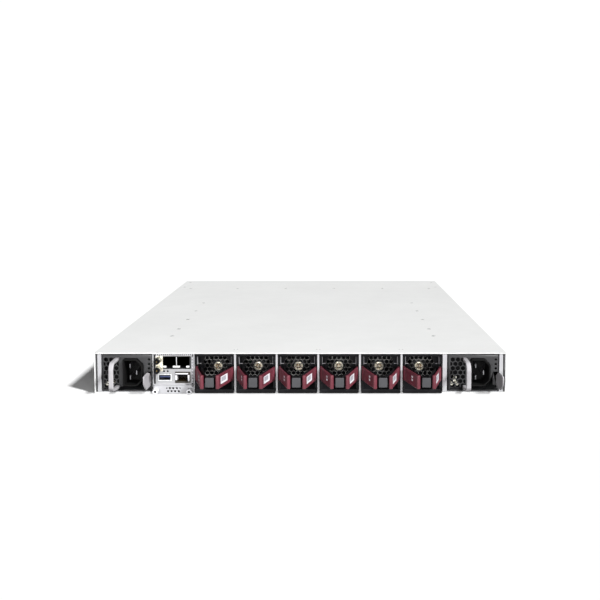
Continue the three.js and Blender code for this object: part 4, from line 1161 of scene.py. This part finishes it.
def build_jacks():
    """The housing of two jacks, the metal strip between them, their contacts and their lamps."""
    low, high = millimetres("mgmt_jack_pair")
    shell, pins, lamps = Build(), Build(), Build()
    openings = [jack_opening(left) for left in JACK_LEFTS]
    outline = rectangle((low.x, high.x), (low.z, high.z))
    shell.sheet(outline, low.y, low.y + JACK_DEEP, holes=openings, bevel=0.2)
    shell.box((low.x, high.x), (low.y + JACK_DEEP - 0.4, high.y), (low.z, high.z))
    shell.piece("mgmt_jack_body", "mgmt_module", "jack_black", replaces=["mgmt_jack_pair"])
    divide = Build().box(around(JACK_DIVIDE, 0.4), (low.y - 0.15, low.y + 1), (30.4, high.z - 0.4), 0.15)
    divide.piece("mgmt_jack_divide", "mgmt_module", "plate_steel")
    leaf = [(REAR + 2, 38.9), (REAR + 2, 38.5), (REAR + 9, 35.2), (REAR + 9, 35.6)]
    for left in JACK_LEFTS:
        add_contacts(pins, left + 2.0, 1.2, leaf)
    pins.piece("mgmt_jack_contacts", "mgmt_module", "connector_gold")
    for x in JACK_LAMPS:
        lamps.box(x, (low.y - 0.15, low.y + 2), (28.0, 29.9), 0.2)
    lamps.piece("mgmt_jack_lamps", "mgmt_module", "lamp_white", "jack_black")


def build_shielded_jack():
    """The single jack: a metal shell, coloured dark as painted shade, with its spring tabs round a dark
    opening.
    """
    low, high = millimetres("mgmt_shielded_jack")
    shield, plug, pins = Build(), Build(), Build()
    (left, right), (bottom, top) = SHIELD_OPENING
    outline = rounded((low.x, high.x), (low.z, high.z), 0.6, 3)
    opening = rectangle((left, right), (bottom, top))
    shield.sheet(outline, low.y, low.y + JACK_DEEP, holes=[opening], bevel=0.2)
    shield.box((low.x, high.x), (low.y + JACK_DEEP - 0.4, high.y), (low.z, high.z))
    shield.piece("mgmt_jack_shield", "mgmt_module", "shield_painted_shade", "port_steel", ["mgmt_shielded_jack"])
    build_jack_springs(low.y)
    plug.box((left + 0.6, right - 0.6), (low.y + 8, low.y + 13), (bottom + 0.6, top - 0.6))
    plug.piece("mgmt_jack_inside", "mgmt_module", "deep_black", "jack_black")
    leaf = [(low.y + 2, bottom + 0.3), (low.y + 2, bottom + 0.7)]
    leaf += [(low.y + 8, bottom + 3.2), (low.y + 8, bottom + 2.8)]
    add_contacts(pins, left + 1.9, 1.05, leaf)
    pins.piece("mgmt_shielded_contacts", "mgmt_module", "connector_gold")


def build_jack_springs(face):
    """Tabs on the shell beside and above the opening, and a leaf folded in from each side."""
    (left, right), (bottom, top) = SHIELD_OPENING
    springs = Build()
    depth = (face - 0.15, face - 0.15 + 0.6)
    springs.box((left - 1.6, left), depth, (bottom + 1.6, top - 0.5), 0.15)
    springs.box((right, right + 1.7), depth, (bottom + 0.5, top - 0.5), 0.15)
    springs.box((left - 1.4, right + 0.3), depth, (top + 0.3, top + 1.6), 0.15)
    for edge, sign in ((left, 1), (right, -1)):
        leaf = [(edge, face + 0.5), (edge + sign * 0.8, face + 3), (edge, face + 6)]
        springs.sheet(leaf, bottom + 1.6, top - 1.6, "Z", bevel=0.1)
    springs.piece("mgmt_jack_springs", "mgmt_module", "nickel", "port_steel")


def build_usb():
    """The USB socket: a metal shell with a dark lining, and a blue tongue with four contacts."""
    low, high = millimetres("mgmt_usb_socket")
    shell, tongue, pads = Build(), Build(), Build()
    opening = rounded(*USB_OPENING, 0.3, 2)
    (left, _), (bottom, _) = USB_OPENING
    outline = rounded((low.x, high.x), (low.z, high.z), 0.5, 3)
    shell.sheet(outline, low.y, low.y + 13, holes=[opening], bevel=0.18)
    shell.box((low.x, high.x), (low.y + 12.8, high.y), (low.z, high.z))
    shell.piece("mgmt_usb_shell", "mgmt_module", "plate_steel", "port_steel", ["mgmt_usb_socket"])
    lining = Build()
    inner = offset_loop(anticlockwise(opening), -0.35)
    lining.sheet(offset_loop(anticlockwise(opening), -0.02), low.y + 1.0, low.y + 12.9, holes=[inner])
    lining.piece("mgmt_usb_lining", "mgmt_module", "deep_black", "jack_black")
    tongue.box((left + 0.8, left + 11.5), (REAR + 0.6, REAR + 13), (bottom + 2.7, bottom + 4.3), 0.2)
    tongue.piece("mgmt_usb_tongue", "mgmt_module", "usb_blue", "jack_black")
    for i in range(4):
        x = left + 2.0 + i * 2.4
        pads.box((x, x + 1.2), (REAR + 1.8, REAR + 8), (bottom + 2.55, bottom + 2.75), 0.04)
    pads.piece("mgmt_usb_pads", "mgmt_module", "connector_gold")


def build_coax(level):
    """A threaded barrel with a hexagon nut, and a dark nose with a pin in it."""
    node = f"mgmt_coax_{level}"
    low, high = millimetres(node)
    centre = middle(node)
    spot = (centre.x, 0, centre.z)
    barrel = Build()
    tip = low.y
    start = tip + COAX_NOSE
    outside = [(2.45, start)]
    for i in range(6):
        y = start + 0.2 + i * 1.1
        outside += [(3.1, y), (3.1, y + 0.35), (2.8, y + 0.6), (2.8, y + 0.9)]
    outside += [(2.9, REAR - 3.2), (2.6, REAR - 0.3), (2.6, high.y), (0, high.y)]
    barrel.lathe(spot, [(0, start)] + outside, 32)
    nut = hexagon(centre.x, centre.z, COAX_NUT)
    barrel.sheet(nut, REAR - 3.1, REAR - 0.3, holes=[circle(centre.x, centre.z, 2.5)], bevel=0.25)
    barrel.piece(f"{node}_barrel", "mgmt_module", "gilded", "connector_gold", [node])
    nose = Build()
    cap = [(0, tip + 0.9), (2.0, tip + 0.9), (2.3, tip), (2.8, tip), (3.0, tip + 0.3)]
    cap += [(3.0, start + 0.1), (0, start + 0.1)]
    nose.lathe(spot, cap, 28)
    nose.piece(f"{node}_nose", "mgmt_module", "deep_black", "jack_black")
    pin = Build().lathe(spot, [(0, tip + 0.2), (0.3, tip + 0.2), (0.5, tip + 0.4), (0.5, tip + 2)], 16)
    pin.piece(f"{node}_pin", "mgmt_module", "connector_gold")


def build_thumbscrew(side):
    """A knurled captive screw with a hexagon socket in its head."""
    node = f"mgmt_thumbscrew_{side}"
    low, high = millimetres(node)
    centre = middle(node)
    tip = low.y
    head = Build()
    knurl = []
    for i in range(KNURL_TEETH * 2):
        angle = math.pi * i / KNURL_TEETH
        radius = KNURL_RADII[i % 2]
        knurl.append((centre.x + radius * math.cos(angle), centre.z + radius * math.sin(angle)))
    head.sheet(knurl, tip + 0.2, tip + 6.4, holes=[hexagon(centre.x, centre.z, 2.5)], bevel=0.3)
    shank = [(0, tip + 2.4), (1.7, tip + 2.4), (1.7, tip + 6), (1.3, tip + 6.4), (1.3, high.y), (0, high.y)]
    head.lathe((centre.x, 0, centre.z), shank, 24)
    head.piece(f"{node}_head", node, "nickel", "screw_steel", [node])
    socket = Build().sheet(hexagon(centre.x, centre.z, 2.4), tip + 1.0, tip + 2.6)
    socket.piece(f"{node}_socket", node, "deep_black", "screw_steel")


def build_management():
    build_mgmt_face()
    build_mgmt_tab()
    build_mgmt_backing()
    build_coax_plate()
    build_mgmt_fingers()
    build_jacks()
    build_shielded_jack()
    build_usb()
    dress("mgmt_board", "board_green")
    for level in LEVELS:
        build_coax(level)
    for side in SIDES:
        build_thumbscrew(side)


# ---- Port side and inside ----

CAGE_GROUPS = (-122.0, 0.0, 122.0)
CAGE_PITCH = 20.4
CAGE_HALF = 9.4
CAGE_ROWS = ((9.0, 18.2), (21.0, 30.2))
CAGE_HEIGHT = (7.8, 31.4)
CAGE_DEEP = 51.0
CAGE_CAVITY = 45.0
VENT_GROUPS = (-190.0, -61.0, 61.0, 190.0)
VENT_PITCH = 8.6
VENT_HOLE = 7.2
VENT_LOW = 9.4
VENT_COUNTS = (4, 3, 4, 3)  # holes in each row of a group, from the lowest
CAGES_ACROSS = 4
PORT_LAMP_STEPS = (-3.4, 3.4)  # beside the middle of each cage column
PORT_LAMP_Z = 34.8
CONNECTOR_IN = 36.0


def cage_columns(group):
    return [group + (i - (CAGES_ACROSS - 1) / 2) * CAGE_PITCH for i in range(CAGES_ACROSS)]


def vent_holes(group):
    holes = []
    for row, count in enumerate(VENT_COUNTS):
        z = VENT_LOW + row * VENT_PITCH * COS_30
        steps = [i - (count - 1) / 2 for i in range(count)]
        holes += [hexagon(group + step * VENT_PITCH, z, VENT_HOLE) for step in steps]
    return holes


def build_port_panel():
    """The panel on the far side: openings for the cages, vents, and a lamp for each cage."""
    low, high = millimetres("port_panel")
    half = 2 * CAGE_PITCH + 1.1
    holes = [rectangle(around(x, half), (CAGE_HEIGHT[0] - 0.3, CAGE_HEIGHT[1] + 0.3)) for x in CAGE_GROUPS]
    for x in VENT_GROUPS:
        holes += vent_holes(x)
    columns = [x for group in CAGE_GROUPS for x in cage_columns(group)]
    lamps = [(x + step, PORT_LAMP_Z) for x in columns for step in PORT_LAMP_STEPS]
    holes += [circle(x, z, 0.9, 16) for x, z in lamps]
    panel = Build()
    outline = rounded((low.x, high.x), (low.z, high.z), 0.5, 2)
    panel.sheet(outline, low.y, high.y, holes=holes, bevel=0.18)
    panel.piece("port_face", "chassis", "chassis_paint", replaces=["port_panel"])
    pipes = Build()
    profile = [(0, high.y - 0.3), (0.6, high.y - 0.32), (0.82, high.y - 0.6), (0.82, high.y - 6)]
    for x, z in lamps:
        pipes.lathe((x, 0, z), profile, 16)
    pipes.piece("port_lamps", "chassis", "lamp_green", "jack_black")


def build_cages():
    """Steel cages with a solid back, spring fingers round their mouths and a connector in each."""
    cages, fingers, plugs = Build(), Build(), Build()
    back = FRONT - CAGE_DEEP
    for group in CAGE_GROUPS:
        outline = rectangle(around(group, 2 * CAGE_PITCH + 0.8), CAGE_HEIGHT)
        holes = [rectangle(around(x, CAGE_HALF), row) for x in cage_columns(group) for row in CAGE_ROWS]
        cages.sheet(outline, FRONT - CAGE_CAVITY, FRONT, holes=holes, bevel=0.25)
        cages.sheet(outline, back, FRONT - CAGE_CAVITY + 0.3, bevel=0.2)
        for x in cage_columns(group):
            for low, high in CAGE_ROWS:
                add_cage_fingers(fingers, x, low, high)
                nose = FRONT - CONNECTOR_IN
                plugs.box(around(x, 6.5), (FRONT - CAGE_CAVITY, nose), (low + 1.8, low + 7.4), 0.3)
                plugs.box(around(x, 5.4), (nose - 1.0, nose + 1.5), (low + 3.6, low + 5.2), 0.2)
    cages.box((CAGE_GROUPS[0], CAGE_GROUPS[-1]), (back, back + 5), (CAGE_HEIGHT[0], CAGE_HEIGHT[0] + 4))
    cages.piece("cages", "chassis", "port_steel", replaces=["port_cages"])
    fingers.piece("cage_fingers", "chassis", "plate_steel", "port_steel")
    plugs.piece("cage_connectors", "chassis", "jack_black")


def add_cage_fingers(fingers, x, low, high):
    """Leaf springs along the floor and roof of a cage's mouth."""
    for step in (-6.2, -2.1, 2.1, 6.2):
        for edge, sign in ((low, 1), (high, -1)):
            leaf = [(FRONT - 0.4, edge - sign * 0.1), (FRONT - 2.4, edge + sign * 0.5)]
            leaf.append((FRONT - 7, edge - sign * 0.1))
            fingers.sheet(leaf, x + step - 1.4, x + step + 1.4, "X", bevel=0.06)


def build_inside():
    for node in ("main_board", "power_board", "fan_board"):
        dress(node, "board_green")
    dress("heat_sink", "heat_sink_aluminium")


# ---- Stage: floor, backdrop and lights ----

STAGE_FLAT = 3.2  # radius of the flat floor, in metres
STAGE_BEND = 0.8
STAGE_HIGH = 1.5
GLOW = 1.02
RIM_GLOW = (2.6, 3.4)  # the paper turns from lit to glowing between these distances
TABLE_GLOW = (-0.2840, -0.2785)  # and in front of the switch between these
PAPER_TONES = ((0.93, 0.93, 0.93), (0.95, 0.95, 0.95))
WORLD_STRENGTH = 0.01
KEY_STRENGTH = 4.95
KEY_SOFTNESS = 8.0
KEY_FROM = (0.589, -0.427, 0.686)
# Each fill: place, target, size and watts
FRONT_FILL = ((0.15, -1.3, 0.07), (0, -0.28, 0.03), (0.8, 0.08), 2)
HIGH_FILL = ((0.03, -1.3, 0.33), (0, -0.27, 0.03), (0.9, 0.08), 7)
SIDE_FILL = ((-0.5, -1.3, 0.07), (0.2, -0.28, 0.02), (0.4, 0.08), 3)


def stage_material():
    """White paper that turns into a glowing wall, and into a glowing table in front of the switch."""
    shader = Shader("studio_white")
    surface = shader.surface
    surface.inputs["Roughness"].default_value = 0.7
    surface.inputs["Specular IOR Level"].default_value = 0.05
    surface.inputs["Emission Color"].default_value = (1, 1, 1, 1)
    links = shader.material.node_tree.links
    distance = shader.nodes.new("ShaderNodeVectorMath")
    distance.operation = "LENGTH"
    links.new(shader.place, distance.inputs[0])
    rim = shader.between(distance.outputs["Value"], 0.0, GLOW, *RIM_GLOW)
    split = shader.nodes.new("ShaderNodeSeparateXYZ")
    links.new(shader.place, split.inputs[0])
    table = shader.between(split.outputs["Y"], GLOW, 0.0, *TABLE_GLOW)
    glow = shader.nodes.new("ShaderNodeMath")
    glow.operation = "MAXIMUM"
    links.new(rim, glow.inputs[0])
    links.new(table, glow.inputs[1])
    clouds = shader.between(shader.noise(3.0), 0.0, 1.0)
    paper = shader.mix(clouds, *PAPER_TONES)
    shader.link(shader.mix(glow.outputs[0], paper, (0, 0, 0)), surface, "Base Color")
    shader.link(glow.outputs[0], surface, "Emission Strength")
    return shader.material


def build_stage():
    """One round pale sheet: floor, sweep and wall."""
    bend = [math.pi / 2 * i / 16 for i in range(1, 17)]
    profile = [(0.0, 0.0), (1.0, 0.0), (STAGE_FLAT, 0.0)]
    profile += [(STAGE_FLAT + STAGE_BEND * math.sin(a), STAGE_BEND - STAGE_BEND * math.cos(a)) for a in bend]
    profile.append((STAGE_FLAT + STAGE_BEND, STAGE_HIGH))
    paper = Build().lathe((0, 0, 0), [(radius / MM, height / MM) for radius, height in profile], 96, "Z")
    mesh = paper.mesh("floor")
    mesh.flip_normals()
    mesh.materials.append(stage_material())
    floor = bpy.data.objects.new("floor", mesh)
    bpy.context.scene.collection.objects.link(floor)
    shade(floor)
    floor.visible_diffuse = False  # its glow would light the rear faces from below


def add_area(name, place, target, size, watts):
    data = bpy.data.lights.new(name, "AREA")
    data.shape = "RECTANGLE"
    data.size, data.size_y = size
    data.energy = watts
    light = bpy.data.objects.new(name, data)
    bpy.context.scene.collection.objects.link(light)
    light.location = place
    light.rotation_euler = (Vector(target) - Vector(place)).to_track_quat("-Z", "Y").to_euler()


def build_lights():
    world = bpy.data.worlds.new("studio")
    world.use_nodes = True
    sky = world.node_tree.nodes["Background"]
    sky.inputs["Color"].default_value = (1.0, 1.0, 1.0, 1.0)
    sky.inputs["Strength"].default_value = WORLD_STRENGTH
    bpy.context.scene.world = world
    bpy.context.scene.view_settings.view_transform = "Standard"
    data = bpy.data.lights.new("key", "SUN")
    data.energy = KEY_STRENGTH
    data.angle = math.radians(KEY_SOFTNESS)
    key = bpy.data.objects.new("key", data)
    bpy.context.scene.collection.objects.link(key)
    key.rotation_euler = (-Vector(KEY_FROM)).to_track_quat("-Z", "Y").to_euler()
    add_area("front_fill", *FRONT_FILL)
    add_area("high_fill", *HIGH_FILL)
    add_area("side_fill", *SIDE_FILL)


add_camera()
build_cover()
build_rail_shade_strip()
build_tray()
dress("bay_frame", "frame_steel")
for number in FANS:
    build_fan(number)
for hand in SIDES:
    build_supply(hand)
build_management()
build_port_panel()
build_cages()
build_inside()
build_stage()
build_lights()
